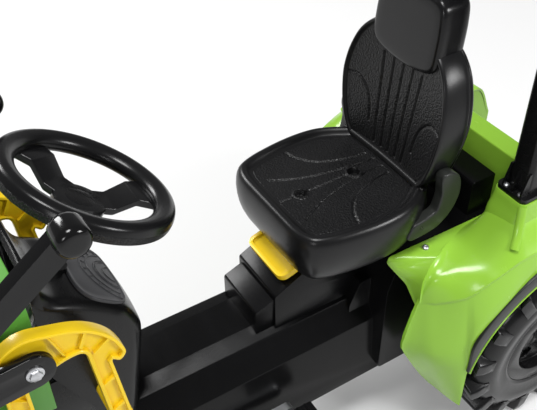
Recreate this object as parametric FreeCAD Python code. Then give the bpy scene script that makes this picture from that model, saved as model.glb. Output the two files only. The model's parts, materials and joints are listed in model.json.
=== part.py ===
import FreeCAD, Part
import math
import os
from FreeCAD import Vector

os.makedirs("parts", exist_ok=True)

# All lengths are millimetres. X points forward, Y to the rider's left, Z up.
# The layout is counted from the ground below the rear axle. A rise is a height above
# the body's level line, which the rear tyres carry.

# Shared clearances and overruns
overrun = 4.0
slide_gap = 0.4
running_gap = 0.05
body_gap = 2.0

# Rear wheels
rear_tyre_radius = 163.0
rear_tyre_width = 72.0
rear_track = 382.0
rear_tyre_wall = 76.0
rear_rim_width = 60.0
rear_lug_height = 13.0
rear_lug_width = 16.0
rear_lug_count = 16
rear_lug_lean = 28.0
tyre_shoulder = 16.0
rim_dish_depth = 18.0
rim_flange = 24.0
rim_lip = 8.0
rim_hole_radius = 11.0
rim_hole_count = 6
hub_radius = 26.0
rear_axle_radius = 10.0
axle_nut_radius = 15.0
axle_nut_length = 10.0
rear_hub_gap = 4.0

# Front wheels
front_tyre_radius = 135.0
front_tyre_width = 64.0
front_track = 392.0
front_tyre_wall = 55.0
front_rim_width = 54.0
front_lug_height = 11.0
front_lug_width = 14.0
front_lug_count = 14
front_dish_depth = 16.0
front_flange = 20.0
front_hole_radius = 9.0
front_hub_radius = 20.0
front_hub_inset = 18.0
stub_radius = 8.0

# Chassis tunnel, a hollow moulding that is open below
tunnel_top_half = 30.0
tunnel_top_rise = 221.0
tunnel_edge_half = 54.5
tunnel_edge_rise = 212.0
tunnel_side_half = 80.0
tunnel_side_rise = 173.0
tunnel_foot_half = 89.0
tunnel_foot_z = 104.0
tunnel_front_x = 640.0
tunnel_rear_x = 150.0
tunnel_wall = 5.0
tunnel_round = 5.0

# Rear body under the seat
platform_half = 104.0
platform_rise = 318.0
platform_rear_x = -54.0
platform_front_x = 222.0
platform_toe_x = 243.0
platform_toe_rise = 250.0
platform_foot_z = 130.0
ramp_half = 66.0
ramp_top_rise = 248.0
ramp_top_x = 262.0
ramp_foot_x = 279.0
ramp_round = 6.0
rear_box_half = 92.0
rear_box_front_x = 97.0
rear_box_rise = 378.0

# Seat base block with the groove that the seat slides in
block_front_x = 426.0
block_half = 44.0
block_front_rise = 258.0
block_step_x = 397.0
block_step_rise = 279.0
block_step_half = 49.0
block_seat_x = 302.0
block_foot_rise = 200.0
block_round = 5.0
groove_half = 17.0
groove_depth = 16.0
groove_rear_x = 196.0
groove_front_x = 342.0

# Seat
seat_x = 281.0
seat_rise = 395.0
seat_rear_x = 150.0
seat_front_x = 384.0
seat_rear_half = 92.0
seat_front_half = 92.0
seat_side_half = 115.0
seat_side_x = 262.0
seat_corner = 42.0
seat_bulge_rise = 374.0
seat_shoulder_rise = 399.0
seat_rim_rise = 406.0
seat_skirt_rise = 328.0
seat_skirt_inset = 14.0
seat_shoulder_inset = 5.0
seat_rim_inset = 15.0
seat_rim_width = 7.0
seat_well_pitch = 88.0
seat_well_radius = 6.5
seat_well_depth = 9.0
seat_screw_radius = 5.0
seat_screw_head = 4.0
seat_tongue_rear_x = 232.0
seat_tongue_front_x = 300.0

# Backrest and headrest
back_thick = 36.0
back_lean = 5.5
back_foot_x = 184.0
back_heights = (0.0, 85.0, 131.0, 165.0, 186.0, 202.0)
back_halves = (101.0, 103.0, 101.0, 87.0, 68.0, 46.0)
back_corner = 14.0
head_half = 56.0
head_middle_half = 61.0
head_foot = 158.0
head_top = 262.0
head_reach = 10.0
head_corner = 12.0

# Side ears that join the backrest to the seat
ear_inner_y = 95.0
ear_outer_y = 113.0
ear_rear_x = 143.0
ear_rear_rise = 394.0
ear_heel_x = 172.0
ear_foot_rise = 346.0
ear_toe_x = 226.0
ear_toe_rise = 356.0
ear_knee_x = 180.0
ear_knee_rise = 380.0
ear_top_x = 150.0
ear_top_rise = 441.0
ear_round = 8.0
ear_hole_radius = 3.0
ear_hole_x = 205.0
ear_hole_rise = 364.0

# Seat latch
latch_half = 45.0
latch_rear_x = 346.0
latch_front_x = 387.0
latch_rear_rise = 320.0
latch_front_rise = 307.0
latch_thick = 10.0
latch_corner = 12.0
latch_rim = 6.0
latch_dip = 3.0
latch_pin_radius = 4.0
latch_pin_x = 351.0
latch_pin_rise = 317.0
latch_lug_half = 8.0
latch_lug_thick = 8.0
latch_lug_foot_rise = 308.0

# Fenders
fender_wall_radius = 140.0
fender_wall_gap = 10.0
fender_tuck = 8.0
fender_shell = 5.0
fender_lip_gap = 13.0
fender_head_room = 47.0
fender_front_gap = 60.0
fender_foot_rise = 9.0
fender_crease_drop = 73.0
fender_slope_run = 23.0
fender_station_shares = (-0.83, -0.67, -0.4, 0.27, 0.48, 0.67, 0.81, 0.94, 1.01, 1.07)
fender_inner_lifts = (-62.0, 0.0, 24.0, 24.0, 23.0, 4.0, 0.0, -6.0, -58.0, -144.0)
fender_middle_ins = (33.0, 33.0, 33.0, 33.0, 33.0, 33.0, 25.0, 13.0, 5.0, 3.0)
fender_middle_lifts = (-63.0, 0.0, 27.0, 27.0, 24.0, 1.0, -10.0, -23.0, -64.0, -145.0)
fender_crease_ins = (55.0, 60.0, 64.0, 65.0, 63.0, 59.0, 48.0, 24.0, 10.0, 6.0)
fender_crease_lifts = (-82.0, -20.0, 5.0, 7.0, 3.0, -11.0, -36.0, -53.0, -73.0, -147.0)
fender_outer_ins = (60.0, 68.0, 74.0, 74.0, 74.0, 73.0, 66.0, 44.0, 22.0, 10.0)
fender_outer_lifts = (-110.0, -60.0, -38.0, -38.0, -38.0, -50.0, -75.0, -95.0, -110.0, -150.0)
fender_foot_ins = (62.0, 70.0, 74.0, 74.0, 74.0, 74.0, 71.0, 47.0, 26.0, 12.0)
deck_rise = 322.0
deck_thick = 6.0
deck_front_x = 249.0
deck_rear_x = -20.0
pedestal_rise = 395.0
pedestal_front_x = 92.0
pedestal_rear_x = 36.0
pedestal_inner_gap = 23.0
pedestal_outer_gap = 41.0
pedestal_flare = 16.0
pedestal_inner_flare = 4.0
pedestal_round = 10.0

# Dark trim strip on each fender side
trim_thick = 3.0
trim_lip = 2.0
trim_width = 22.0
trim_start_angle = 24.0
trim_end_angle = 150.0

# Rear panel between the fenders
panel_front_x = 55.0
panel_thick = 8.0
panel_top_rise = 421.0
panel_flange = 34.0
panel_flange_thick = 7.0

# Roll bar
bar_base_inset = 2.0
bar_base_thick = 7.0
bar_depth = 40.0
bar_width = 36.0
bar_top_z = 810.0
bar_beam = 40.0
bar_round = 8.0
bar_screw_radius = 4.5
bar_screw_head = 2.5
bar_screw_inset = 6.5

# Dashboard console
dash_half = 68.0
dash_foot_x = 616.0
dash_foot_rise = 216.0
dash_belly_x = 588.0
dash_belly_rise = 345.0
dash_low_x = 597.0
dash_low_rise = 387.0
dash_high_x = 682.0
dash_high_rise = 455.0
dash_cowl_x = 700.0
dash_cowl_rise = 500.0
dash_front_x = 709.0
dash_wall = 5.0
dash_round = 14.0
dial_plate_thick = 4.0
dial_plate_half = 52.0
dial_plate_inset = 8.0
dial_plate_round = 10.0
dial_ring_radius = 15.0
dial_ring_width = 2.5
dial_ring_height = 2.0
dial_ring_y = 31.0

# Steering
wheel_x = 608.0
wheel_rise = 542.0
wheel_tilt = 31.0
wheel_radius = 90.0
wheel_tube = 12.5
wheel_hub_radius = 24.0
wheel_hub_height = 26.0
wheel_dish = 14.0
spoke_width = 30.0
spoke_thick = 11.0
spoke_turns = (60.0, 180.0, 300.0)
cap_radius = 19.0
cap_height = 4.0
column_radius = 9.0
column_bush_radius = 16.0
column_bush_length = 26.0
column_bush_below = 17.0
steer_arm = 60.0
steer_pin_radius = 6.0
steer_plate_half = 13.0
steer_plate_thick = 8.0
steer_pin_length = 38.0
steer_pin_above = 16.0
tie_thick = 7.0
tie_width = 20.0
tie_slot_half = 24.0
tie_slot_side = 7.2
tie_pin_radius = 5.0

# Front axle
king_inset = 66.0
king_radius = 8.0
sleeve_radius = 15.0
sleeve_foot_z = 150.0
sleeve_top_z = 196.0
beam_half = 14.0
beam_foot_z = 156.0
beam_top_z = 186.0
king_gap = 0.5
knuckle_thick = 26.0
knuckle_half = 15.0
arm_thick = 9.0
arm_half = 12.0

# Front frame that carries the axle, hood and loader
rail_inner = 44.0
rail_outer = 56.0
rail_foot_z = 232.0
rail_top_rise = 322.0
rail_rear_x = 622.0
rail_front_x = 1000.0
rail_block = 46.0
web_half = 16.0
nose_thick = 14.0

# Hood
hood_rear_x = 718.0
hood_front_x = 1022.0
hood_half = 98.0
hood_foot_rise = 330.0
hood_rear_rise = 506.0
hood_front_rise = 450.0
hood_wall = 5.0
hood_round = 26.0
hood_hinge_rise = 490.0
hood_hinge_x = 731.0
hood_pin_radius = 5.0
hood_boss_radius = 9.0
hood_boss_width = 12.0
lamp_half = 22.0
lamp_y = 48.0
lamp_rise = 405.0
lamp_height = 17.0
lamp_thick = 5.0
grille_half = 78.0
grille_foot_z = 236.0
grille_thick = 16.0
grille_slot = 7.0
grille_slots = 6
grille_slot_depth = 6.0

# Loader bracket, one at each side
bracket_inner_y = 114.0
bracket_thick = 16.0
bracket_tip_x = 635.0
bracket_tip_rise = 410.0
bracket_bend_x = 646.0
bracket_bend_rise = 442.0
bracket_arch_x = 674.0
bracket_arch_rise = 472.0
bracket_crest_x = 738.0
bracket_crest_rise = 493.0
bracket_front_x = 768.0
bracket_front_rise = 476.0
bracket_foot_rise = 276.0
bracket_hook = 10.0
bracket_leg = 24.0
bracket_leg_x = 654.0
bracket_leg_lean = 14.0
bracket_beam = 33.0
bracket_spacer_radius = 13.0
bracket_round = 5.0

# Loader arms, levers and bucket
pivot_x = 734.0
pivot_rise = 455.0
pivot_radius = 8.0
pivot_head_radius = 13.0
pivot_head = 7.0
arm_inner_y = 134.0
arm_width = 9.0
arm_depth = 44.0
arm_knee_x = 930.0
arm_knee_rise = 438.0
arm_front_x = 1120.0
arm_front_z = 112.0
lever_inner_y = 117.0
lever_foot_x = 852.0
lever_depth = 28.0
grip_x = 667.0
grip_rise = 597.0
grip_radius = 18.5
grip_inner_y = 114.0
grip_outer_y = 147.0
cross_x = 1072.0
cross_z = 210.0
cross_radius = 13.0
bucket_pin_radius = 7.0
bucket_half = 212.0
bucket_wall = 6.0
bucket_rear_x = 1146.0
bucket_front_x = 1372.0
bucket_foot_z = 16.0
bucket_top_z = 232.0
bucket_top_x = 1196.0
bucket_lip = 12.0
bucket_lug_thick = 10.0
bucket_lug_half = 24.0

# Pedal drive
crank_x = 500.0
crank_z = 150.0
crank_arm = 84.0
crank_radius = 8.0
crank_arm_y = 100.0
crank_arm_thick = 12.0
crank_arm_half = 12.0
pedal_inner_y = 116.0
pedal_width = 66.0
pedal_half = 38.0
pedal_height = 22.0
pedal_ridge = 3.0
pedal_ridges = 5
pedal_pin_radius = 6.0
chain_y = 26.0
chain_width = 9.0
chain_thick = 7.0
chain_gap = 0.6
crank_sprocket_radius = 46.0
rear_sprocket_radius = 32.0
sprocket_thick = 4.0
tooth_height = 4.0
crank_teeth = 24
rear_teeth = 16
bush_radius = 17.0
bush_flange = 4.0
bush_flange_radius = 23.0

# Rear hitch
hitch_reach = 205.0
hitch_half = 24.0
hitch_plate = 9.0
hitch_gap = 26.0
hitch_z = 214.0
hitch_bore = 8.0
hitch_bore_inset = 24.0
hitch_back_thick = 10.0
hitch_back_half = 46.0
hitch_back_height = 80.0

# Small screws
screw_radius = 5.0
screw_head = 3.0
deck_screw_x = 193.0

X_AXIS = Vector(1, 0, 0)
Y_AXIS = Vector(0, 1, 0)
Z_AXIS = Vector(0, 0, 1)
full_turn = 360.0


def box(x_low, x_high, y_low, y_high, z_low, z_high):
    corner = Vector(x_low, y_low, z_low)
    return Part.makeBox(x_high - x_low, y_high - y_low, z_high - z_low, corner)


def rod(radius, length, start, axis):
    return Part.makeCylinder(radius, length, start, axis)


def prism(points, travel):
    wire = Part.makePolygon(points + [points[0]])
    return Part.Face(wire).extrude(travel)


def prism_y(outline, y_low, y_high):
    points = [Vector(x, y_low, z) for x, z in outline]
    return prism(points, Vector(0, y_high - y_low, 0))


def prism_x(outline, x_low, x_high):
    points = [Vector(x_low, y, z) for y, z in outline]
    return prism(points, Vector(x_high - x_low, 0, 0))


def joined(shapes):
    result = shapes[0]
    for shape in shapes[1:]:
        result = result.fuse(shape)
    return result.removeSplitter()


def grouped(shapes):
    return Part.makeCompound(shapes)


def edges_along(shape, axis):
    found = []
    for edge in shape.Edges:
        if isinstance(edge.Curve, Part.Line) and edge.Length > 0:
            if abs(abs(edge.tangentAt(edge.FirstParameter).dot(axis)) - 1) < slope_limit:
                found.append(edge)
    return found


def rounded(shape, radius, axis):
    return shape.makeFillet(radius, edges_along(shape, axis))


def across(shape):
    return shape.mirror(Vector(0, 0, 0), Y_AXIS)


def turned(shape, point, axis, degrees):
    copy = shape.copy()
    copy.rotate(point, axis, degrees)
    return copy


def ring_wire(half_x, half_y, corner, place):
    arcs = []
    quarter = 90.0
    ends = ((1, 1, 0), (-1, 1, quarter), (-1, -1, 2 * quarter), (1, -1, 3 * quarter))
    for side_x, side_y, start in ends:
        middle = Vector(side_x * (half_x - corner), side_y * (half_y - corner), 0)
        arcs.append(Part.makeCircle(corner, middle, Z_AXIS, start, start + quarter))
    edges = []
    for number, arc in enumerate(arcs):
        following = arcs[(number + 1) % len(arcs)]
        edges.append(arc)
        edges.append(Part.makeLine(arc.lastVertex().Point, following.firstVertex().Point))
    wire = Part.Wire(edges)
    wire.Placement = place
    return wire


slope_limit = 1e-6
pieces = {}

# Heights of the body's pieces, counted from its level line
body_z = rear_tyre_radius * 2 + fender_head_room - deck_rise
tunnel_top_z = body_z + tunnel_top_rise
tunnel_edge_z = body_z + tunnel_edge_rise
tunnel_side_z = body_z + tunnel_side_rise
platform_z = body_z + platform_rise
platform_toe_z = body_z + platform_toe_rise
ramp_top_z = body_z + ramp_top_rise
block_front_z = body_z + block_front_rise
block_step_z = body_z + block_step_rise
block_foot_z = body_z + block_foot_rise
seat_z = body_z + seat_rise
seat_rim_z = body_z + seat_rim_rise
seat_bulge_z = body_z + seat_bulge_rise
seat_shoulder_z = body_z + seat_shoulder_rise
rear_box_z = body_z + rear_box_rise
seat_skirt_z = body_z + seat_skirt_rise
ear_foot_z = body_z + ear_foot_rise
ear_knee_z = body_z + ear_knee_rise
ear_toe_z = body_z + ear_toe_rise
ear_rear_z = body_z + ear_rear_rise
ear_top_z = body_z + ear_top_rise
ear_hole_z = body_z + ear_hole_rise
latch_rear_z = body_z + latch_rear_rise
latch_front_z = body_z + latch_front_rise
latch_pin_z = body_z + latch_pin_rise
latch_lug_foot_z = body_z + latch_lug_foot_rise
deck_z = body_z + deck_rise
pedestal_z = body_z + pedestal_rise
panel_top_z = body_z + panel_top_rise
dash_foot_z = body_z + dash_foot_rise
dash_belly_z = body_z + dash_belly_rise
dash_low_z = body_z + dash_low_rise
dash_high_z = body_z + dash_high_rise
dash_cowl_z = body_z + dash_cowl_rise
wheel_z = body_z + wheel_rise
rail_top_z = body_z + rail_top_rise
hood_foot_z = body_z + hood_foot_rise
hood_rear_z = body_z + hood_rear_rise
hood_front_z = body_z + hood_front_rise
hood_hinge_z = body_z + hood_hinge_rise
lamp_z = body_z + lamp_rise
bracket_tip_z = body_z + bracket_tip_rise
bracket_arch_z = body_z + bracket_arch_rise
bracket_bend_z = body_z + bracket_bend_rise
bracket_crest_z = body_z + bracket_crest_rise
bracket_front_z = body_z + bracket_front_rise
bracket_foot_z = body_z + bracket_foot_rise
pivot_z = body_z + pivot_rise
arm_knee_z = body_z + arm_knee_rise
grip_z = body_z + grip_rise

# Places worked out from the sizes above
tilt = math.radians(wheel_tilt)
column_up = Vector(-math.sin(tilt), 0, math.cos(tilt))
column_fore = Vector(math.cos(tilt), 0, math.sin(tilt))
wheel_centre = Vector(wheel_x, 0, wheel_z)
rear_y = rear_track / 2
front_y = front_track / 2
king_y = front_y - king_inset
rear_rim_radius = rear_tyre_radius - rear_tyre_wall
rim_dish_radius = rear_rim_radius - rim_flange
rim_hole_ring = (rim_dish_radius + hub_radius) / 2
front_rim_radius = front_tyre_radius - front_tyre_wall
front_dish_radius = front_rim_radius - front_flange
front_hole_ring = (front_dish_radius + front_hub_radius) / 2
rear_hub_inset = rear_y - rear_rim_width / 2 - platform_half - bush_flange - rear_hub_gap
rear_axle = Vector(0, 0, rear_tyre_radius)
arm_foot_z = sleeve_top_z + king_gap
arm_top_z = arm_foot_z + arm_thick
tie_foot_z = arm_top_z + king_gap
tie_z = tie_foot_z + tie_thick / 2
pin_line = wheel_centre - column_fore * steer_arm
pin_run = (pin_line.z - tie_z) / column_up.z
steer_pin = pin_line - column_up * pin_run
front_axle_x = steer_pin.x + steer_arm
knuckle_top_z = sleeve_foot_z - king_gap
knuckle_foot_z = knuckle_top_z - knuckle_thick
grille_top_z = hood_foot_z - slide_gap
arm_outer_y = arm_inner_y + arm_width
bracket_outer_y = bracket_inner_y + bracket_thick
middle_x = (bucket_front_x - hitch_reach) / 2
block_top_z = seat_skirt_z - slide_gap


def tyre(radius, width, rim, rim_width, lug, lug_width, count, lean):
    tread = radius - lug
    half = width / 2
    side = half - tyre_shoulder / 2
    belly = (tread + rim) / 2
    outline = [
        (rim, -rim_width / 2),
        (belly, -half),
        (tread - tyre_shoulder, -side),
        (tread, -half + tyre_shoulder),
        (tread, half - tyre_shoulder),
        (tread - tyre_shoulder, side),
        (belly, half),
        (rim, rim_width / 2),
    ]
    points = [Vector(0, across_y, reach) for reach, across_y in outline]
    face = Part.Face(Part.makePolygon(points + [points[0]]))
    carcass = face.revolve(Vector(0, 0, 0), Y_AXIS, full_turn)
    limit = rod(radius, width, Vector(0, -half, 0), Y_AXIS)
    step = full_turn / count
    lugs = []
    for number in range(count):
        for hand in (1, -1):
            bar = box(-lug_width / 2, lug_width / 2, 0, half * 2, tread - lug, radius + lug)
            bar = turned(bar, Vector(0, 0, 0), Z_AXIS, -lean)
            bar = bar.common(box(-radius, radius, 0, half, 0, radius * 2))
            if hand < 0:
                bar = across(bar)
            spread = step * number + step / 4 * hand
            lugs.append(turned(bar, Vector(0, 0, 0), Y_AXIS, spread))
    tread_bars = lugs[0].multiFuse(lugs[1:]).common(limit)
    return carcass.fuse(tread_bars).removeSplitter()


def rim(radius, width, dish, depth, hub, inset, bore, ring, hole, count):
    half = width / 2
    web = half - depth
    disc = rod(radius, width, Vector(0, -half, 0), Y_AXIS)
    disc = disc.cut(rod(dish, depth + overrun, Vector(0, web, 0), Y_AXIS))
    back = web - rim_lip + half
    disc = disc.cut(rod(radius - rim_lip, back, Vector(0, -half, 0), Y_AXIS))
    for number in range(count):
        turn = math.radians(full_turn * number / count)
        spot = Vector(ring * math.cos(turn), -half, ring * math.sin(turn))
        disc = disc.cut(rod(hole, width, spot, Y_AXIS))
    boss = rod(hub, web + half + inset, Vector(0, -half - inset, 0), Y_AXIS)
    disc = disc.fuse(boss)
    reach = width + inset + overrun * 2
    disc = disc.cut(rod(bore, reach, Vector(0, -half - inset - overrun, 0), Y_AXIS))
    return disc.removeSplitter()


def placed(shape, x, y, z):
    copy = shape.copy()
    copy.translate(Vector(x, y, z))
    return copy


# Wheels
rear_tyre = tyre(rear_tyre_radius, rear_tyre_width, rear_rim_radius, rear_rim_width,
                 rear_lug_height, rear_lug_width, rear_lug_count, rear_lug_lean)
rear_rim = rim(rear_rim_radius, rear_rim_width, rim_dish_radius, rim_dish_depth, hub_radius,
               rear_hub_inset, rear_axle_radius + running_gap, rim_hole_ring,
               rim_hole_radius, rim_hole_count)
front_tyre = tyre(front_tyre_radius, front_tyre_width, front_rim_radius, front_rim_width,
                  front_lug_height, front_lug_width, front_lug_count, rear_lug_lean)
front_rim = rim(front_rim_radius, front_rim_width, front_dish_radius, front_dish_depth,
                front_hub_radius, front_hub_inset, stub_radius + running_gap, front_hole_ring,
                front_hole_radius, rim_hole_count)
pieces["rear_tyre_left"] = placed(rear_tyre, 0, rear_y, rear_tyre_radius)
pieces["rear_rim_left"] = placed(rear_rim, 0, rear_y, rear_tyre_radius)
pieces["front_tyre_left"] = placed(front_tyre, front_axle_x, front_y, front_tyre_radius)
pieces["front_rim_left"] = placed(front_rim, front_axle_x, front_y, front_tyre_radius)
for name in ("rear_tyre", "rear_rim", "front_tyre", "front_rim"):
    pieces[name + "_right"] = across(pieces[name + "_left"])

# Rear axle with its end nuts and the driven sprocket
rear_web_y = rear_y + rear_rim_width / 2 - rim_dish_depth
nut_y = rear_web_y + king_gap
axle_end_y = nut_y + axle_nut_length
axle_start = Vector(0, -axle_end_y, rear_tyre_radius)
pieces["rear_axle"] = rod(rear_axle_radius, axle_end_y * 2, axle_start, Y_AXIS)
nuts = []
for hand in (1, -1):
    nut = rod(axle_nut_radius, axle_nut_length, Vector(0, nut_y, rear_tyre_radius), Y_AXIS)
    nut = nut.cut(rod(rear_axle_radius, axle_nut_length, Vector(0, nut_y, rear_tyre_radius), Y_AXIS))
    nuts.append(nut if hand > 0 else across(nut))
pieces["rear_axle_nuts"] = grouped(nuts)


def sprocket(pitch_radius, teeth, bore):
    root = pitch_radius - tooth_height / 2
    tip = pitch_radius + tooth_height / 2
    points = []
    for number in range(teeth):
        for share, reach in zip(tooth_shares, (root, tip, tip, root)):
            turn = math.radians(full_turn * (number + share) / teeth)
            points.append(Vector(reach * math.cos(turn), -sprocket_thick / 2, reach * math.sin(turn)))
    disc = prism(points, Vector(0, sprocket_thick, 0))
    return disc.cut(rod(bore, sprocket_thick * 2, Vector(0, -sprocket_thick, 0), Y_AXIS))


tooth_shares = (0.15, 0.38, 0.62, 0.85)
wheel_sprocket = sprocket(rear_sprocket_radius, rear_teeth, rear_axle_radius)
pieces["rear_sprocket"] = placed(wheel_sprocket, 0, chain_y, rear_tyre_radius)
crank_sprocket = sprocket(crank_sprocket_radius, crank_teeth, crank_radius)
pieces["crank_sprocket"] = placed(crank_sprocket, crank_x, chain_y, crank_z)

# Chain as one loop just outside the teeth
chain_span = math.hypot(crank_x, crank_z - rear_tyre_radius)


def chain_loop(extra, thick):
    big = crank_sprocket_radius + tooth_height / 2 + extra
    small = rear_sprocket_radius + tooth_height / 2 + extra
    lean = math.asin((big - small) / chain_span)
    slope = math.atan2(crank_z - rear_tyre_radius, crank_x)
    top = slope + math.pi / 2 + lean
    foot = slope - math.pi / 2 - lean
    low_y = chain_y - thick / 2
    far = Vector(crank_x, low_y, crank_z)
    near = Vector(0, low_y, rear_tyre_radius)

    def spot(middle, reach, turn):
        return middle + Vector(math.cos(turn), 0, math.sin(turn)) * reach

    edges = [
        Part.makeLine(spot(near, small, top), spot(far, big, top)),
        Part.Arc(spot(far, big, top), spot(far, big, slope), spot(far, big, foot)).toShape(),
        Part.makeLine(spot(far, big, foot), spot(near, small, foot)),
        Part.Arc(spot(near, small, foot), spot(near, small, slope + math.pi),
                 spot(near, small, top)).toShape(),
    ]
    return Part.Face(Part.Wire(edges)).extrude(Vector(0, thick, 0))


pieces["chain"] = chain_loop(chain_gap + chain_thick, chain_width).cut(chain_loop(chain_gap, chain_width))

# Crank with its two arms and pedal pins
pedal_outer_y = pedal_inner_y + pedal_width
crank_outer_y = crank_arm_y + crank_arm_thick
crank_parts = [rod(crank_radius, crank_outer_y * 2, Vector(crank_x, -crank_outer_y, crank_z), Y_AXIS)]
for hand in (1, -1):
    tip_x = crank_x - crank_arm * hand
    low_y = crank_arm_y if hand > 0 else -crank_outer_y
    for place_x in (crank_x, tip_x):
        crank_parts.append(rod(crank_arm_half, crank_arm_thick, Vector(place_x, low_y, crank_z), Y_AXIS))
    crank_parts.append(box(min(crank_x, tip_x), max(crank_x, tip_x), low_y, low_y + crank_arm_thick,
                           crank_z - crank_arm_half, crank_z + crank_arm_half))
    pin_y = crank_outer_y if hand > 0 else -pedal_outer_y - body_gap
    pin_length = pedal_outer_y + body_gap - crank_outer_y
    crank_parts.append(rod(pedal_pin_radius, pin_length, Vector(tip_x, pin_y, crank_z), Y_AXIS))
pieces["crank"] = joined(crank_parts)

# Pedals, blocks with ridges that turn on the crank pins
pedal_shape = box(-pedal_half, pedal_half, pedal_inner_y, pedal_outer_y, -pedal_height / 2, pedal_height / 2)
pedal_shape = rounded(pedal_shape, pedal_height / 4, Y_AXIS)
ridge_pitch = pedal_half * 2 / (pedal_ridges + 1)
for number in range(pedal_ridges):
    ridge_x = -pedal_half + ridge_pitch * (number + 1)
    for face_z in (pedal_height / 2 - pedal_ridge / 2, -pedal_height / 2 - pedal_ridge / 2):
        ridge = box(ridge_x - pedal_ridge / 2, ridge_x + pedal_ridge / 2,
                    pedal_inner_y, pedal_outer_y, face_z, face_z + pedal_ridge)
        pedal_shape = pedal_shape.fuse(ridge)
pedal_bore = rod(pedal_pin_radius + running_gap, pedal_width + overrun * 2,
                 Vector(0, pedal_inner_y - overrun, 0), Y_AXIS)
pedal_shape = pedal_shape.cut(pedal_bore).removeSplitter()
pieces["pedal_left"] = placed(pedal_shape, crank_x - crank_arm, 0, crank_z)
pieces["pedal_right"] = placed(across(pedal_shape), crank_x + crank_arm, 0, crank_z)

# Chassis: a tunnel that steps up into the platform below the seat
tunnel_half_outline = (
    (tunnel_foot_half, tunnel_foot_z),
    (tunnel_side_half, tunnel_side_z),
    (tunnel_edge_half, tunnel_edge_z),
    (tunnel_top_half, tunnel_top_z),
)


def both_sides(half_outline):
    return list(half_outline) + [(-y, z) for y, z in reversed(half_outline)]


tunnel_outer = prism_x(both_sides(tunnel_half_outline), tunnel_rear_x, tunnel_front_x)
tunnel_outer = rounded(tunnel_outer, tunnel_round, X_AXIS)
tunnel_hollow_outline = [(y - tunnel_wall, z - tunnel_wall) for y, z in tunnel_half_outline]
tunnel_hollow_outline[0] = (tunnel_foot_half - tunnel_wall, tunnel_foot_z - overrun)
tunnel_hollow = prism_x(both_sides(tunnel_hollow_outline), tunnel_rear_x - overrun, tunnel_front_x + overrun)
platform_outline = [
    (platform_rear_x, platform_foot_z),
    (platform_rear_x, platform_z),
    (platform_front_x, platform_z),
    (platform_toe_x, platform_toe_z),
    (platform_toe_x, platform_foot_z),
]
platform_outer = prism_y(platform_outline, -platform_half, platform_half)
platform_outer = rounded(platform_outer, ramp_round, Y_AXIS)
platform_hollow = prism_y(
    [
        (platform_rear_x + tunnel_wall, platform_foot_z - overrun),
        (platform_rear_x + tunnel_wall, platform_z - tunnel_wall),
        (platform_front_x - tunnel_wall, platform_z - tunnel_wall),
        (platform_toe_x - tunnel_wall, platform_toe_z),
        (platform_toe_x - tunnel_wall, platform_foot_z - overrun),
    ],
    tunnel_wall - platform_half,
    platform_half - tunnel_wall,
)
ramp_outline = [
    (platform_front_x, tunnel_side_z),
    (platform_front_x, ramp_top_z),
    (ramp_top_x, ramp_top_z),
    (ramp_foot_x, tunnel_edge_z - tunnel_wall),
    (ramp_foot_x, tunnel_side_z),
]
ramp_outer = rounded(prism_y(ramp_outline, -ramp_half, ramp_half), ramp_round, Y_AXIS)
rear_box_rear_x = panel_front_x - panel_thick
rear_box_outline = [
    (rear_box_rear_x, platform_foot_z),
    (rear_box_rear_x, rear_box_z),
    (rear_box_front_x, rear_box_z),
    (rear_box_front_x, platform_foot_z),
]
rear_box = rounded(prism_y(rear_box_outline, -rear_box_half, rear_box_half), ramp_round, Y_AXIS)
box_hollow = box(rear_box_rear_x + tunnel_wall, rear_box_front_x - tunnel_wall, tunnel_wall - rear_box_half,
                 rear_box_half - tunnel_wall, platform_foot_z - overrun, rear_box_z - tunnel_wall)
chassis_full = tunnel_outer.fuse(platform_outer).fuse(ramp_outer).fuse(rear_box).removeSplitter()
chassis = chassis_full.cut(tunnel_hollow).cut(platform_hollow).cut(box_hollow)
crank_bush_y = crank_arm_y - body_gap
crank_hole = rod(bush_radius, crank_bush_y * 2, Vector(crank_x, -crank_bush_y, crank_z), Y_AXIS)
rear_bush_hole = rod(bush_radius, platform_half * 2 + overrun * 2,
                     Vector(0, -platform_half - overrun, rear_tyre_radius), Y_AXIS)
chassis = chassis.cut(crank_hole).cut(rear_bush_hole)

# Bushes that the crank and the rear axle turn in
crank_bushes = []
rear_bushes = []
bush_inner_y = tunnel_side_half - tunnel_wall * 2
for hand in (1, -1):
    bush = rod(bush_radius, crank_bush_y - bush_inner_y, Vector(crank_x, bush_inner_y, crank_z), Y_AXIS)
    bush = bush.cut(rod(crank_radius + running_gap, crank_bush_y, Vector(crank_x, 0, crank_z), Y_AXIS))
    crank_bushes.append(bush if hand > 0 else across(bush))
    sleeve_y = platform_half - tunnel_wall
    bush = rod(bush_radius, tunnel_wall, Vector(0, sleeve_y, rear_tyre_radius), Y_AXIS)
    flange = rod(bush_flange_radius, bush_flange, Vector(0, platform_half, rear_tyre_radius), Y_AXIS)
    bush = bush.fuse(flange)
    bush = bush.cut(rod(rear_axle_radius + running_gap, rear_y, Vector(0, 0, rear_tyre_radius), Y_AXIS))
    rear_bushes.append(bush if hand > 0 else across(bush))
pieces["crank_bushes"] = grouped(crank_bushes)
pieces["rear_axle_bushes"] = grouped(rear_bushes)

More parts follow.
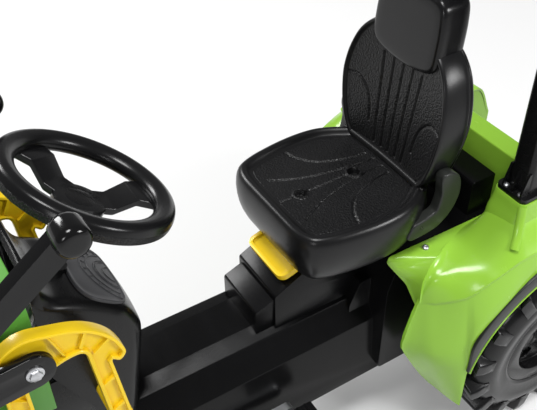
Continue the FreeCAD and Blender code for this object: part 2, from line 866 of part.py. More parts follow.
# Seat base block on the tunnel, with the groove for the seat's tongue
block_outline = [
    (block_front_x, block_foot_z),
    (block_front_x, block_front_z),
    (block_step_x, block_step_z - block_round * 2),
    (platform_front_x, block_step_z - block_round * 2),
    (platform_front_x, block_foot_z),
]
block_low = rounded(prism_y(block_outline, -block_half, block_half), block_round, Y_AXIS)
upper_outline = [
    (block_step_x, block_foot_z),
    (block_step_x, block_step_z),
    (block_seat_x, block_top_z),
    (platform_front_x - groove_half * 2, block_top_z),
    (platform_front_x - groove_half * 2, block_foot_z),
]
block_high = rounded(prism_y(upper_outline, -block_step_half, block_step_half), block_round, Y_AXIS)
seat_base = block_low.fuse(block_high).cut(chassis_full)
groove = box(groove_rear_x, groove_front_x, -groove_half, groove_half, block_top_z - groove_depth,
             block_top_z + overrun)
seat_base = seat_base.cut(groove).removeSplitter()
pieces["seat_base"] = seat_base
pieces["chassis_tunnel"] = chassis.cut(groove).removeSplitter()


def soft_wire(points, radius):
    edges = []
    starts = []
    count = len(points)
    for number, point in enumerate(points):
        before = (points[number - 1] - point).normalize()
        after = (points[(number + 1) % count] - point).normalize()
        half = before.getAngle(after) / 2
        run = radius / math.tan(half)
        inward = (before + after).normalize()
        centre = point + inward * (radius / math.sin(half))
        start = point + before * run
        end = point + after * run
        starts.append((start, Part.Arc(start, centre - inward * radius, end).toShape(), end))
    for number, (start, arc, end) in enumerate(starts):
        following = starts[(number + 1) % count][0]
        edges.append(arc)
        edges.append(Part.makeLine(end, following))
    return Part.Wire(edges)


def soft_prism_y(outline, radius, y_low, y_high):
    points = [Vector(x, y_low, z) for x, z in outline]
    return Part.Face(soft_wire(points, radius)).extrude(Vector(0, y_high - y_low, 0))


# Seat: a moulded pan with a raised rim, open towards the backrest
def seat_wire(inset, z, corner):
    rear = seat_rear_half - inset
    side = seat_side_half - inset
    front = seat_front_half - inset
    points = [
        Vector(seat_rear_x + inset, -rear, z),
        Vector(seat_side_x, -side, z),
        Vector(seat_front_x - inset, -front, z),
        Vector(seat_front_x - inset, front, z),
        Vector(seat_side_x, side, z),
        Vector(seat_rear_x + inset, rear, z),
    ]
    return soft_wire(points, corner)


seat_sections = (
    (seat_skirt_inset, seat_skirt_z),
    (0, seat_bulge_z),
    (seat_shoulder_inset, seat_shoulder_z),
    (seat_rim_inset, seat_rim_z),
)
seat_wires = [seat_wire(inset, z, seat_corner - inset) for inset, z in seat_sections]
seat_body = Part.makeLoft(seat_wires, True, True)
pad_inset = seat_rim_inset + seat_rim_width
pad_points = [
    Vector(seat_rear_x - overrun, pad_inset - seat_rear_half, seat_z),
    Vector(seat_side_x, pad_inset - seat_side_half, seat_z),
    Vector(seat_front_x - pad_inset, pad_inset - seat_front_half, seat_z),
    Vector(seat_front_x - pad_inset, seat_front_half - pad_inset, seat_z),
    Vector(seat_side_x, seat_side_half - pad_inset, seat_z),
    Vector(seat_rear_x - overrun, seat_rear_half - pad_inset, seat_z),
]
pocket = Part.Face(soft_wire(pad_points, seat_corner - pad_inset)).extrude(Vector(0, 0, seat_rim_z))
seat_body = seat_body.cut(pocket)
seat_screws = []
for hand in (1, -1):
    well = Vector(seat_x + seat_well_pitch / 2 * hand, 0, seat_z - seat_well_depth)
    seat_body = seat_body.cut(rod(seat_well_radius, seat_well_depth * 2, well, Z_AXIS))
    seat_screws.append(rod(seat_screw_radius, seat_screw_head, well, Z_AXIS))
pieces["seat_screws"] = grouped(seat_screws)

# Backrest: sections that narrow upwards and lean back
lean_run = math.tan(math.radians(back_lean))


def back_wire(height, half, thick, reach, corner):
    front_x = back_foot_x - height * lean_run + reach
    place = FreeCAD.Placement(Vector(front_x - thick / 2, 0, seat_z + height), FreeCAD.Rotation())
    return ring_wire(thick / 2, half, corner, place)


back_sections = []
for height, half in zip(back_heights, back_halves):
    back_sections.append(back_wire(height, half, back_thick, 0, back_corner))
backrest = Part.makeLoft(back_sections, True, False)
head_sections = []
head_thick = back_thick + head_reach
head_steps = ((head_foot, head_half), ((head_foot + head_top) / 2, head_middle_half), (head_top, head_half))
for height, half in head_steps:
    head_sections.append(back_wire(height, half, head_thick, head_reach, head_corner))
headrest = Part.makeLoft(head_sections, True, False).cut(backrest)
pieces["backrest"] = backrest
pieces["headrest"] = headrest

# Tongue and latch lugs below the seat
tongue = box(seat_tongue_rear_x, seat_tongue_front_x, slide_gap - groove_half, groove_half - slide_gap,
             block_top_z - groove_depth + slide_gap, seat_skirt_z)
seat_body = seat_body.cut(backrest).fuse(tongue)
latch_lug_y = latch_half + body_gap
latch_axis = Vector(latch_pin_x, -latch_lug_y - latch_lug_thick, latch_pin_z)
latch_pin_length = (latch_lug_y + latch_lug_thick) * 2
for hand in (1, -1):
    lug = box(latch_pin_x - latch_lug_half, latch_pin_x + latch_lug_half, latch_lug_y,
              latch_lug_y + latch_lug_thick, latch_lug_foot_z, seat_skirt_z)
    seat_body = seat_body.fuse(lug if hand > 0 else across(lug))
seat_body = seat_body.cut(rod(latch_pin_radius + running_gap, latch_pin_length, latch_axis, Y_AXIS))
pieces["seat_pan"] = seat_body.removeSplitter()

# Latch: a wide pull plate that turns on its pin
latch_run = latch_front_x - latch_rear_x
latch_fall = latch_rear_z - latch_front_z
latch_length = math.hypot(latch_run, latch_fall)
latch_turn = FreeCAD.Rotation(Y_AXIS, math.degrees(math.atan2(latch_fall, latch_run)))
latch_middle = Vector((latch_front_x + latch_rear_x) / 2, 0, (latch_front_z + latch_rear_z) / 2)
latch_normal = latch_turn.multVec(Z_AXIS)
latch_place = FreeCAD.Placement(latch_middle, latch_turn)
plate = Part.Face(ring_wire(latch_length / 2, latch_half, latch_corner, latch_place))
plate = plate.extrude(latch_normal * -latch_thick)
dip_place = FreeCAD.Placement(latch_middle - latch_normal * latch_dip, latch_turn)
dip_half = latch_half - latch_rim
dip_wire = ring_wire(latch_length / 2 - latch_rim, dip_half, latch_corner - latch_rim, dip_place)
dip = Part.Face(dip_wire)
plate = plate.cut(dip.extrude(latch_normal * (latch_dip + overrun)))
latch_pin = rod(latch_pin_radius, latch_pin_length, latch_axis, Y_AXIS)
pieces["seat_latch"] = plate.fuse(latch_pin).removeSplitter()

# Ears at the seat's sides
ear_outline = [
    (ear_heel_x, ear_foot_z),
    (ear_toe_x, ear_foot_z),
    (ear_toe_x, ear_toe_z),
    (ear_knee_x, ear_knee_z),
    (ear_knee_x, ear_top_z),
    (ear_top_x, ear_top_z),
    (ear_rear_x, ear_rear_z),
]
ears = []
for hand in (1, -1):
    ear = soft_prism_y(ear_outline, ear_round / 2, ear_inner_y, ear_outer_y)
    ear_hole = Vector(ear_hole_x, ear_outer_y - ear_round, ear_hole_z)
    ear = ear.cut(rod(ear_hole_radius, ear_round * 2, ear_hole, Y_AXIS))
    ear = ear.cut(backrest).cut(pieces["seat_pan"])
    ears.append(ear if hand > 0 else across(ear))
pieces["seat_ears"] = grouped(ears)

# Fender: a domed shell over the tyre with an inner deck and the pedestal of the roll bar
fender_wall_y = rear_y - rear_tyre_width / 2 - fender_wall_gap
fender_outer_y = rear_y + rear_tyre_width / 2 - fender_tuck
fender_lip_radius = rear_tyre_radius + fender_lip_gap
fender_front_x = rear_tyre_radius + fender_front_gap
fender_foot_z = rear_tyre_radius + fender_foot_rise
crease_z = deck_z - fender_crease_drop
pedestal_inner_y = fender_wall_y - pedestal_inner_gap
pedestal_outer_y = fender_outer_y - pedestal_outer_gap


def fender_section(number, step, drop):
    x = fender_front_x * fender_station_shares[number] * (1 - step / fender_front_x)
    wall_y = fender_wall_y + step
    outline = (
        (fender_foot_ins[number], fender_foot_z - drop + step),
        (0, fender_foot_z - drop + step),
        (0, deck_z + fender_inner_lifts[number]),
        (fender_middle_ins[number], deck_z + fender_middle_lifts[number]),
        (fender_crease_ins[number], deck_z + fender_crease_lifts[number]),
        (fender_outer_ins[number], deck_z + fender_outer_lifts[number]),
    )
    narrowing = 1 - step * 2 / (fender_outer_y - fender_wall_y)
    points = [Vector(x, wall_y + ins * narrowing, z - step) for ins, z in outline]
    return Part.makePolygon(points + [points[0]])


def fender_block(step, drop):
    wires = [fender_section(number, step, drop) for number in range(len(fender_station_shares))]
    return Part.makeLoft(wires, True, True)


def about_axle(radius, y_low):
    return rod(radius, rear_track, rear_axle + Y_AXIS * y_low, Y_AXIS)


shell = fender_block(0, 0).cut(fender_block(fender_shell, overrun))
shell = shell.cut(about_axle(fender_lip_radius, fender_wall_y + fender_shell))
shell = shell.cut(about_axle(fender_wall_radius, 0))
deck_foot_z = deck_z - deck_thick
deck = prism(
    [
        Vector(deck_rear_x, platform_half, deck_foot_z),
        Vector(deck_front_x, platform_half, deck_foot_z),
        Vector(fender_front_x - fender_slope_run, fender_wall_y + fender_shell / 2, deck_foot_z),
        Vector(deck_rear_x, fender_wall_y + fender_shell / 2, deck_foot_z),
    ],
    Vector(0, 0, deck_thick),
)
gusset = prism(
    [
        Vector(deck_front_x, platform_half, deck_z - deck_thick / 2),
        Vector(fender_front_x - fender_slope_run, fender_wall_y + fender_shell / 2, deck_z - deck_thick / 2),
        Vector(fender_front_x, fender_wall_y + fender_shell / 2, crease_z),
    ],
    Vector(-fender_shell, 0, 0),
)


def pedestal_wire(flare, z):
    half_x = (pedestal_front_x - pedestal_rear_x) / 2 + flare
    low_y = pedestal_inner_y - pedestal_inner_flare * flare / pedestal_flare
    high_y = pedestal_outer_y + flare
    centre = Vector((pedestal_front_x + pedestal_rear_x) / 2, (low_y + high_y) / 2, z)
    place = FreeCAD.Placement(centre, FreeCAD.Rotation())
    return ring_wire(half_x, (high_y - low_y) / 2, pedestal_round, place)


pedestal_wires = [pedestal_wire(pedestal_flare, deck_foot_z), pedestal_wire(0, pedestal_z)]
pedestal = Part.makeLoft(pedestal_wires, True, True)
fender = joined([shell, deck, gusset, pedestal])
pieces["fender_left"] = fender
pieces["fender_right"] = across(fender)

# Trim strips on the outer faces of the fenders
trim_low_radius = fender_lip_radius + trim_lip
trim_high_radius = trim_low_radius + trim_width
trim_start = math.radians(trim_start_angle)
trim_points = [
    rear_axle + Vector(reach * math.cos(trim_start), fender_outer_y + rise, reach * math.sin(trim_start))
    for reach, rise in ((trim_low_radius, 0), (trim_low_radius, trim_thick), (trim_high_radius, trim_thick),
                        (trim_high_radius, 0))
]
trim_face = Part.Face(Part.makePolygon(trim_points + [trim_points[0]]))
trim = trim_face.revolve(rear_axle, Y_AXIS * -1, trim_end_angle - trim_start_angle)
pieces["fender_trims"] = grouped([trim, across(trim)])

# Rear panel with its top flange
panel_rear_x = panel_front_x - panel_thick
panel = box(panel_rear_x, panel_front_x, -pedestal_inner_y, pedestal_inner_y, platform_z, panel_top_z)
flange = box(panel_front_x - panel_flange, panel_front_x, -pedestal_inner_y, pedestal_inner_y,
             panel_top_z - panel_flange_thick, panel_top_z)
panel = rounded(panel.fuse(flange).removeSplitter(), panel_flange_thick / 3, Y_AXIS)
pieces["rear_panel"] = panel.cut(pieces["fender_left"]).cut(pieces["fender_right"]).cut(chassis_full)

# Roll bar: two posts on flanges and the beam across their tops
base_top_z = pedestal_z + bar_base_thick
bar_base_x = pedestal_rear_x + bar_base_inset
bar_base_front_x = pedestal_front_x - bar_base_inset
bar_base_inner_y = pedestal_inner_y + bar_base_inset
bar_base_outer_y = pedestal_outer_y - bar_base_inset
post_x = bar_base_x + bar_depth / 2
post_y = (bar_base_inner_y + bar_base_outer_y) / 2
posts = []
bar_screws = []
for hand in (1, -1):
    base = box(bar_base_x, bar_base_front_x, bar_base_inner_y, bar_base_outer_y, pedestal_z, base_top_z)
    post = box(post_x - bar_depth / 2, post_x + bar_depth / 2, post_y - bar_width / 2, post_y + bar_width / 2,
               base_top_z, bar_top_z - bar_beam)
    post = rounded(base, bar_round, Z_AXIS).fuse(rounded(post, bar_round, Z_AXIS)).removeSplitter()
    screws = []
    for place_y in (bar_base_inner_y + bar_screw_inset * 2, bar_base_outer_y - bar_screw_inset * 2):
        spot = Vector(bar_base_front_x - bar_screw_inset, place_y, base_top_z)
        screws.append(rod(bar_screw_radius, bar_screw_head, spot, Z_AXIS))
    posts.append(post if hand > 0 else across(post))
    bar_screws += screws if hand > 0 else [across(screw) for screw in screws]
pieces["roll_bar_posts"] = grouped(posts)
pieces["roll_bar_screws"] = grouped(bar_screws)
beam = box(post_x - bar_depth / 2, post_x + bar_depth / 2, -post_y - bar_width / 2, post_y + bar_width / 2,
           bar_top_z - bar_beam, bar_top_z)
pieces["roll_bar_beam"] = rounded(beam, bar_round, Y_AXIS)

# Dashboard console, hollow and open towards the front and below
console_outline = [
    (dash_foot_x, dash_foot_z - tunnel_side_half / 2),
    (dash_belly_x, dash_belly_z),
    (dash_low_x, dash_low_z),
    (dash_high_x, dash_high_z),
    (dash_cowl_x, dash_cowl_z),
    (dash_front_x, dash_cowl_z),
    (dash_front_x, dash_belly_z),
    (tunnel_front_x, dash_foot_z - tunnel_side_half / 2),
]
console = prism_y(console_outline, -dash_half, dash_half)
slope_edges = [edge for edge in console.Edges if edge.BoundBox.YLength < slope_limit
               and edge.BoundBox.XMin < dash_high_x and edge.BoundBox.ZMin > dash_foot_z - tunnel_side_half
               and edge.BoundBox.XMax < dash_cowl_x + slope_limit]
console = console.makeFillet(dash_round, slope_edges)
hollow_outline = [
    (dash_foot_x + dash_wall, dash_foot_z - tunnel_side_half),
    (dash_belly_x + dash_wall, dash_belly_z),
    (dash_low_x + dash_wall, dash_low_z - dash_wall),
    (dash_high_x + dash_wall, dash_high_z - dash_wall),
    (dash_cowl_x + dash_wall, dash_cowl_z - dash_wall),
    (dash_front_x + overrun, dash_cowl_z - dash_wall),
    (dash_front_x + overrun, dash_foot_z - tunnel_side_half),
]
console = console.cut(prism_y(hollow_outline, dash_wall - dash_half, dash_half - dash_wall))
console = console.cut(tunnel_outer)
slope_run = Vector(dash_high_x - dash_low_x, 0, dash_high_z - dash_low_z)
slope_turn = FreeCAD.Rotation(Y_AXIS, -math.degrees(math.atan2(slope_run.z, slope_run.x)))
slope_normal = slope_turn.multVec(Z_AXIS)
slope_start = Vector(dash_low_x, 0, dash_low_z)
slope_middle = slope_start + slope_run / 2

# Where the column goes through the slope
column_drop = (wheel_centre - slope_start).dot(slope_normal) / column_up.dot(slope_normal)
column_gate = wheel_centre - column_up * column_drop
bush_start = column_gate - column_up * column_bush_below
bush_space = rod(column_bush_radius, column_bush_length * 2, bush_start, column_up)
bush = rod(column_bush_radius, column_bush_length, bush_start, column_up)
bush_bore = rod(column_radius + running_gap, column_bush_length * 2, bush_start, column_up)
pieces["column_bush"] = bush.cut(bush_bore)

# Hinge lugs for the hood at the front of the console
hinge_inner_y = dash_half / 2
hinge_outer_y = hinge_inner_y + hood_boss_width
for hand in (1, -1):
    lug_foot_z = hood_hinge_z - hood_boss_radius * 2
    hanger = box(dash_front_x - dash_wall * 2, dash_front_x, hinge_inner_y, hinge_outer_y,
                 lug_foot_z, dash_cowl_z - dash_wall / 2)
    reach = box(dash_front_x - dash_wall, hood_hinge_x, hinge_inner_y, hinge_outer_y,
                lug_foot_z, hood_hinge_z - hood_pin_radius)
    lug_start = Vector(hood_hinge_x, hinge_inner_y, hood_hinge_z)
    eye = rod(hood_boss_radius - body_gap, hood_boss_width, lug_start, Y_AXIS)
    lug = hanger.fuse(reach).fuse(eye)
    console = console.fuse(lug if hand > 0 else across(lug))
hinge_reach = hinge_outer_y + body_gap / 2 + hood_boss_width
hinge_start = Vector(hood_hinge_x, -hinge_reach, hood_hinge_z)
console = console.cut(rod(hood_pin_radius + running_gap, hinge_reach * 2, hinge_start, Y_AXIS))
pieces["dash_console"] = console.cut(bush_space).removeSplitter()

# Dial plate with plain raised rings
plate_place = FreeCAD.Placement(slope_middle, slope_turn)
plate_half = slope_run.Length / 2 - dial_plate_inset
dial_plate = Part.Face(ring_wire(plate_half, dial_plate_half, dial_plate_round, plate_place))
dial_plate = dial_plate.extrude(slope_normal * dial_plate_thick)
for hand in (1, -1):
    spot = slope_middle + Vector(0, dial_ring_y * hand, 0) + slope_normal * dial_plate_thick
    ring = rod(dial_ring_radius, dial_ring_height, spot, slope_normal)
    ring = ring.cut(rod(dial_ring_radius - dial_ring_width, dial_ring_height, spot, slope_normal))
    dial_plate = dial_plate.fuse(ring)
pieces["dial_plate"] = dial_plate.cut(bush_space).removeSplitter()

# Steering wheel, drawn flat and then tilted into place
wheel_place = FreeCAD.Placement(wheel_centre, FreeCAD.Rotation(Y_AXIS, -wheel_tilt))
wheel_parts = [Part.makeTorus(wheel_radius, wheel_tube)]
hub_foot = Vector(0, 0, -wheel_dish - wheel_hub_height / 2)
wheel_parts.append(rod(wheel_hub_radius, wheel_hub_height, hub_foot, Z_AXIS))
for turn in spoke_turns:
    spoke = box(0, wheel_radius, -spoke_width / 2, spoke_width / 2, -spoke_thick, 0)
    wheel_parts.append(turned(spoke, Vector(0, 0, 0), Z_AXIS, turn))
steering_wheel = joined(wheel_parts)
column_top = wheel_hub_height / 2 - wheel_dish
socket = rod(column_radius, wheel_hub_height * 2, Vector(0, 0, column_top - wheel_hub_height * 2), Z_AXIS)
steering_wheel = steering_wheel.cut(socket)
steering_wheel.Placement = wheel_place
cap = rod(cap_radius, cap_height, Vector(0, 0, column_top), Z_AXIS)
cap.Placement = wheel_place
pieces["steering_wheel"] = steering_wheel.cut(cap)
pieces["steering_cap"] = cap

# Column with the crank plate and pin that move the tie rod
plate_centre = steer_pin + column_up * steer_pin_above
column_foot = plate_centre + column_fore * steer_arm
column_head = wheel_centre + column_up * column_top
column = rod(column_radius, (column_head - column_foot).Length, column_foot, column_up)
crank_plate = box(0, steer_arm, -steer_plate_half, steer_plate_half, 0, steer_plate_thick)
crank_plate = crank_plate.fuse(rod(steer_plate_half, steer_plate_thick, Vector(0, 0, 0), Z_AXIS))
crank_plate = crank_plate.fuse(rod(steer_plate_half, steer_plate_thick, Vector(steer_arm, 0, 0), Z_AXIS))
pin = rod(steer_pin_radius, steer_pin_length, Vector(0, 0, -steer_pin_length), Z_AXIS)
crank_plate = crank_plate.fuse(pin)
crank_plate.Placement = FreeCAD.Placement(plate_centre, FreeCAD.Rotation(Y_AXIS, -wheel_tilt))
pieces["steering_column"] = joined([column, crank_plate])

# Front axle beam with a sleeve at each end
beam_end_y = king_y
beam_rear_x = front_axle_x - beam_half
axle_beam = box(beam_rear_x, front_axle_x + beam_half, -beam_end_y, beam_end_y, beam_foot_z, beam_top_z)
for hand in (1, -1):
    foot = Vector(front_axle_x, king_y * hand, sleeve_foot_z)
    axle_beam = axle_beam.fuse(rod(sleeve_radius, sleeve_top_z - sleeve_foot_z, foot, Z_AXIS))
for hand in (1, -1):
    foot = Vector(front_axle_x, king_y * hand, sleeve_foot_z - overrun)
    axle_beam = axle_beam.cut(rod(king_radius, sleeve_top_z - sleeve_foot_z + overrun * 2, foot, Z_AXIS))
pieces["front_axle_beam"] = axle_beam.removeSplitter()

# Steering knuckle: kingpin, stub axle and arm
stub_end_y = front_y + front_rim_width / 2 - front_dish_depth + king_gap + axle_nut_length
hub_end_y = front_y - front_rim_width / 2 - front_hub_inset
knuckle_outer_y = hub_end_y - body_gap
tie_x = front_axle_x - steer_arm
knuckle_rear_x = front_axle_x - knuckle_half
knuckle = box(knuckle_rear_x, front_axle_x + knuckle_half, king_y - knuckle_half, knuckle_outer_y,
              knuckle_foot_z, knuckle_top_z)
knuckle = knuckle.fuse(rod(king_radius - running_gap, arm_top_z - knuckle_foot_z,
                           Vector(front_axle_x, king_y, knuckle_foot_z), Z_AXIS))
stub_root = Vector(front_axle_x, king_y, front_tyre_radius)
knuckle = knuckle.fuse(rod(stub_radius, stub_end_y - king_y, stub_root, Y_AXIS))
knuckle = knuckle.fuse(box(tie_x, front_axle_x, king_y - arm_half, king_y + arm_half, arm_foot_z, arm_top_z))
for place_x in (tie_x, front_axle_x):
    knuckle = knuckle.fuse(rod(arm_half, arm_thick, Vector(place_x, king_y, arm_foot_z), Z_AXIS))
tie_pin_top = tie_foot_z + tie_thick + body_gap
knuckle = knuckle.fuse(rod(tie_pin_radius, tie_pin_top - arm_top_z, Vector(tie_x, king_y, arm_top_z), Z_AXIS))
pieces["knuckle_left"] = knuckle.removeSplitter()
pieces["knuckle_right"] = across(pieces["knuckle_left"])
nut_start = Vector(front_axle_x, stub_end_y - axle_nut_length, front_tyre_radius)
nut = rod(axle_nut_radius, axle_nut_length, nut_start, Y_AXIS)
nut = nut.cut(rod(stub_radius, axle_nut_length, nut_start, Y_AXIS))
pieces["stub_nut_left"] = nut
pieces["stub_nut_right"] = across(nut)

# Tie rod with the slot that the column's pin works in
tie = box(tie_x - tie_width / 2, tie_x + tie_width / 2, -king_y, king_y, tie_foot_z, tie_foot_z + tie_thick)
for hand in (1, -1):
    tie = tie.fuse(rod(tie_width / 2, tie_thick, Vector(tie_x, king_y * hand, tie_foot_z), Z_AXIS))
lobe_x = tie_slot_half + tie_width / 2
lobe_y = tie_slot_side + tie_width / 2
tie = tie.fuse(box(tie_x - lobe_x, tie_x + lobe_x, -lobe_y, lobe_y, tie_foot_z, tie_foot_z + tie_thick))
tie = tie.cut(box(tie_x - tie_slot_half, tie_x + tie_slot_half, -tie_slot_side, tie_slot_side,
                  tie_foot_z - overrun, tie_foot_z + tie_thick + overrun))
for hand in (1, -1):
    tie = tie.cut(rod(tie_pin_radius + running_gap, tie_thick + overrun * 2,
                      Vector(tie_x, king_y * hand, tie_foot_z - overrun), Z_AXIS))
pieces["tie_rod"] = tie.removeSplitter()

# Front frame: two rails, their end blocks and the webs down to the axle
frame_parts = []
for hand in (1, -1):
    rail = box(rail_rear_x, rail_front_x, rail_inner, rail_outer, rail_foot_z, rail_top_z)
    web_rear_x = front_axle_x - web_half
    web = box(web_rear_x, front_axle_x + web_half, rail_inner, rail_outer, beam_top_z, rail_foot_z)
    frame_parts.append(rail if hand > 0 else across(rail))
    frame_parts.append(web if hand > 0 else across(web))
rail_nose_x = rail_rear_x + nose_thick
frame_parts.append(box(rail_rear_x, rail_nose_x, -rail_inner, rail_inner, tunnel_top_z, rail_top_z))
rail_block_x = rail_front_x - rail_block
frame_parts.append(box(rail_block_x, rail_front_x, -rail_inner, rail_inner, rail_foot_z, rail_top_z))
pieces["front_frame"] = joined(frame_parts).cut(tunnel_outer)

# Grille on the nose of the frame
grille_front_x = rail_front_x + grille_thick
grille = box(rail_front_x, grille_front_x, -grille_half, grille_half, grille_foot_z, grille_top_z)
slot_pitch = (grille_top_z - grille_foot_z) / (grille_slots + 1)
for number in range(grille_slots):
    slot_z = grille_foot_z + slot_pitch * (number + 1)
    grille = grille.cut(box(grille_front_x - grille_slot_depth, grille_front_x + overrun,
                            grille_slot * 2 - grille_half, grille_half - grille_slot * 2,
                            slot_z - grille_slot / 2, slot_z + grille_slot / 2))
pieces["grille"] = grille

# Hood: a shell that is open below and behind, with hinge bosses
hood_outline = [
    (hood_rear_x, hood_foot_z),
    (hood_rear_x, hood_rear_z),
    (hood_front_x - hood_round, hood_front_z + hood_round / 2),
    (hood_front_x, hood_front_z - hood_round),
    (hood_front_x, hood_foot_z),
]


def hood_solid(step, reach):
    outline = [(x - (step if x > hood_rear_x else -reach), z - (step if z > hood_foot_z else reach))
               for x, z in hood_outline]
    shell = prism_y(outline, step - hood_half, hood_half - step)
    brow = [edge for edge in shell.Edges if edge.BoundBox.YLength < slope_limit
            and edge.BoundBox.ZMax > hood_front_z - hood_round and edge.BoundBox.XLength > hood_wall]
    return shell.makeFillet(hood_round - step, brow)


hood = hood_solid(0, 0).cut(hood_solid(hood_wall, -overrun).fuse(
    box(hood_rear_x - overrun, hood_front_x - hood_wall, hood_wall - hood_half, hood_half - hood_wall,
        hood_foot_z - overrun, hood_foot_z + overrun)))
boss_y = hinge_outer_y + body_gap / 2
for hand in (1, -1):
    boss = rod(hood_boss_radius, hood_boss_width, Vector(hood_hinge_x, boss_y, hood_hinge_z), Y_AXIS)
    boss = boss.common(box(hood_rear_x, hood_front_x, 0, hood_half, 0, hood_rear_z - hood_wall / 2))
    hood = hood.fuse(boss if hand > 0 else across(boss))
hood = hood.cut(rod(hood_pin_radius, hinge_reach * 2, hinge_start, Y_AXIS))
pieces["hood"] = hood.removeSplitter()
pieces["hood_hinge_pin"] = rod(hood_pin_radius, hinge_reach * 2, hinge_start, Y_AXIS)
lamps = []
for hand in (1, -1):
    lamp = box(hood_front_x, hood_front_x + lamp_thick, lamp_y - lamp_half, lamp_y + lamp_half,
               lamp_z - lamp_height, lamp_z + lamp_height)
    lamp = rounded(lamp, lamp_height / 3, X_AXIS)
    lamps.append(lamp if hand > 0 else across(lamp))
pieces["head_lamps"] = grouped(lamps)

# Loader brackets, a hooked arch on two legs at each side of the console
bracket_heel_x = bracket_front_x - bracket_leg
bracket_outline = [
    (bracket_front_x, bracket_foot_z),
    (bracket_front_x, bracket_front_z),
    (bracket_crest_x, bracket_crest_z),
    (bracket_arch_x, bracket_arch_z),
    (bracket_bend_x, bracket_bend_z),
    (bracket_tip_x, bracket_tip_z),
    (bracket_tip_x + bracket_hook, bracket_tip_z - bracket_hook),
    (bracket_leg_x, bracket_tip_z),
    (bracket_leg_x - bracket_leg_lean, bracket_foot_z),
    (bracket_leg_x - bracket_leg_lean + bracket_leg, bracket_foot_z),
    (bracket_leg_x + bracket_leg, bracket_arch_z - bracket_beam),
    (pivot_x - bracket_beam, pivot_z - bracket_beam / 2),
    (bracket_heel_x, pivot_z - bracket_beam),
    (bracket_heel_x, bracket_foot_z),
]
spacer_z = bracket_foot_z + bracket_spacer_radius
bracket = soft_prism_y(bracket_outline, bracket_round, bracket_inner_y, bracket_outer_y)
rear_spacer = Vector(bracket_leg_x - bracket_leg_lean + bracket_leg / 2, dash_half, spacer_z)
front_spacer = Vector(bracket_front_x - bracket_leg / 2, rail_outer, spacer_z)
bracket = bracket.fuse(rod(bracket_spacer_radius, bracket_inner_y - dash_half, rear_spacer, Y_AXIS))
bracket = bracket.fuse(rod(bracket_spacer_radius, bracket_inner_y - rail_outer, front_spacer, Y_AXIS))
bracket = bracket.cut(rod(pivot_radius, bracket_thick + overrun * 2,
                          Vector(pivot_x, bracket_inner_y - overrun, pivot_z), Y_AXIS))
bracket = bracket.removeSplitter()
pieces["loader_brackets"] = grouped([bracket, across(bracket)])


def bar_between(first, second, depth, y_low, y_high):
    start = Vector(first[0], y_low, first[1])
    end = Vector(second[0], y_low, second[1])
    along = (end - start).normalize()
    side = along.cross(Y_AXIS) * (depth / 2)
    travel = Vector(0, y_high - y_low, 0)
    bar = prism([start + side, end + side, end - side, start - side], travel)
    for place in (start, end):
        bar = bar.fuse(rod(depth / 2, y_high - y_low, place, Y_AXIS))
    return bar


# Loader arms with their levers, grips and cross tube
pivot = (pivot_x, pivot_z)
knee = (arm_knee_x, arm_knee_z)
arm_tip = (arm_front_x, arm_front_z)
lever_foot = (lever_foot_x, pivot_z)
arm = joined([
    bar_between(pivot, knee, arm_depth, arm_inner_y, arm_outer_y),
    bar_between(knee, arm_tip, arm_depth, arm_inner_y, arm_outer_y),
])
lever = bar_between((grip_x, grip_z), lever_foot, lever_depth, lever_inner_y, arm_inner_y)
arm = arm.cut(rod(pivot_radius + running_gap, arm_width + overrun * 2,
                  Vector(pivot_x, arm_inner_y - overrun, pivot_z), Y_AXIS))
arm = arm.cut(rod(bucket_pin_radius, arm_width + overrun * 2,
                  Vector(arm_front_x, arm_inner_y - overrun, arm_front_z), Y_AXIS))
grip = rod(grip_radius, grip_outer_y - grip_inner_y, Vector(grip_x, grip_inner_y, grip_z), Y_AXIS)
grip = grip.makeFillet(grip_radius / 3, grip.Edges[0:1] + grip.Edges[2:3])
lever = lever.cut(grip).removeSplitter()
arm = arm.removeSplitter()
pieces["loader_arms"] = grouped([arm, across(arm)])
pieces["loader_levers"] = grouped([lever, across(lever)])
pieces["lever_grips"] = grouped([grip, across(grip)])
cross_end = Vector(cross_x, -arm_inner_y, cross_z)
pieces["loader_cross_tube"] = rod(cross_radius, arm_inner_y * 2, cross_end, Y_AXIS)
bolts = []
for hand in (1, -1):
    bolt_foot = Vector(pivot_x, bracket_inner_y, pivot_z)
    bolt = rod(pivot_radius, arm_outer_y + king_gap - bracket_inner_y, bolt_foot, Y_AXIS)
    head = rod(pivot_head_radius, pivot_head, Vector(pivot_x, arm_outer_y + king_gap, pivot_z), Y_AXIS)
    bolt = bolt.fuse(head)
    bolts.append(bolt if hand > 0 else across(bolt))
pieces["loader_bolts"] = grouped(bolts)

# Bucket with two lugs on the pins of the arms
bucket_outline = [
    (bucket_front_x, bucket_foot_z),
    (bucket_rear_x + bucket_lug_half, bucket_foot_z),
    (bucket_rear_x, bucket_foot_z + bucket_lug_half * 2),
    (bucket_rear_x, (bucket_foot_z + bucket_top_z) * 2 / 3),
    (bucket_top_x, bucket_top_z),
    (bucket_top_x + bucket_lip, bucket_top_z),
    (bucket_front_x, bucket_foot_z + bucket_lip),
]
bucket = prism_y(bucket_outline, -bucket_half, bucket_half)
scoop_outline = [
    (bucket_front_x + bucket_lug_half, bucket_foot_z + bucket_wall),
    (bucket_rear_x + bucket_lug_half + bucket_wall / 2, bucket_foot_z + bucket_wall),
    (bucket_rear_x + bucket_wall, bucket_foot_z + bucket_lug_half * 2 + bucket_wall / 2),
    (bucket_rear_x + bucket_wall, (bucket_foot_z + bucket_top_z) * 2 / 3 - bucket_wall / 3),
    (bucket_top_x + bucket_wall, bucket_top_z + overrun),
    (bucket_front_x + bucket_lug_half, bucket_top_z + overrun),
]
bucket = bucket.cut(prism_y(scoop_outline, bucket_wall - bucket_half, bucket_half - bucket_wall))
lug_low_y = arm_outer_y + body_gap
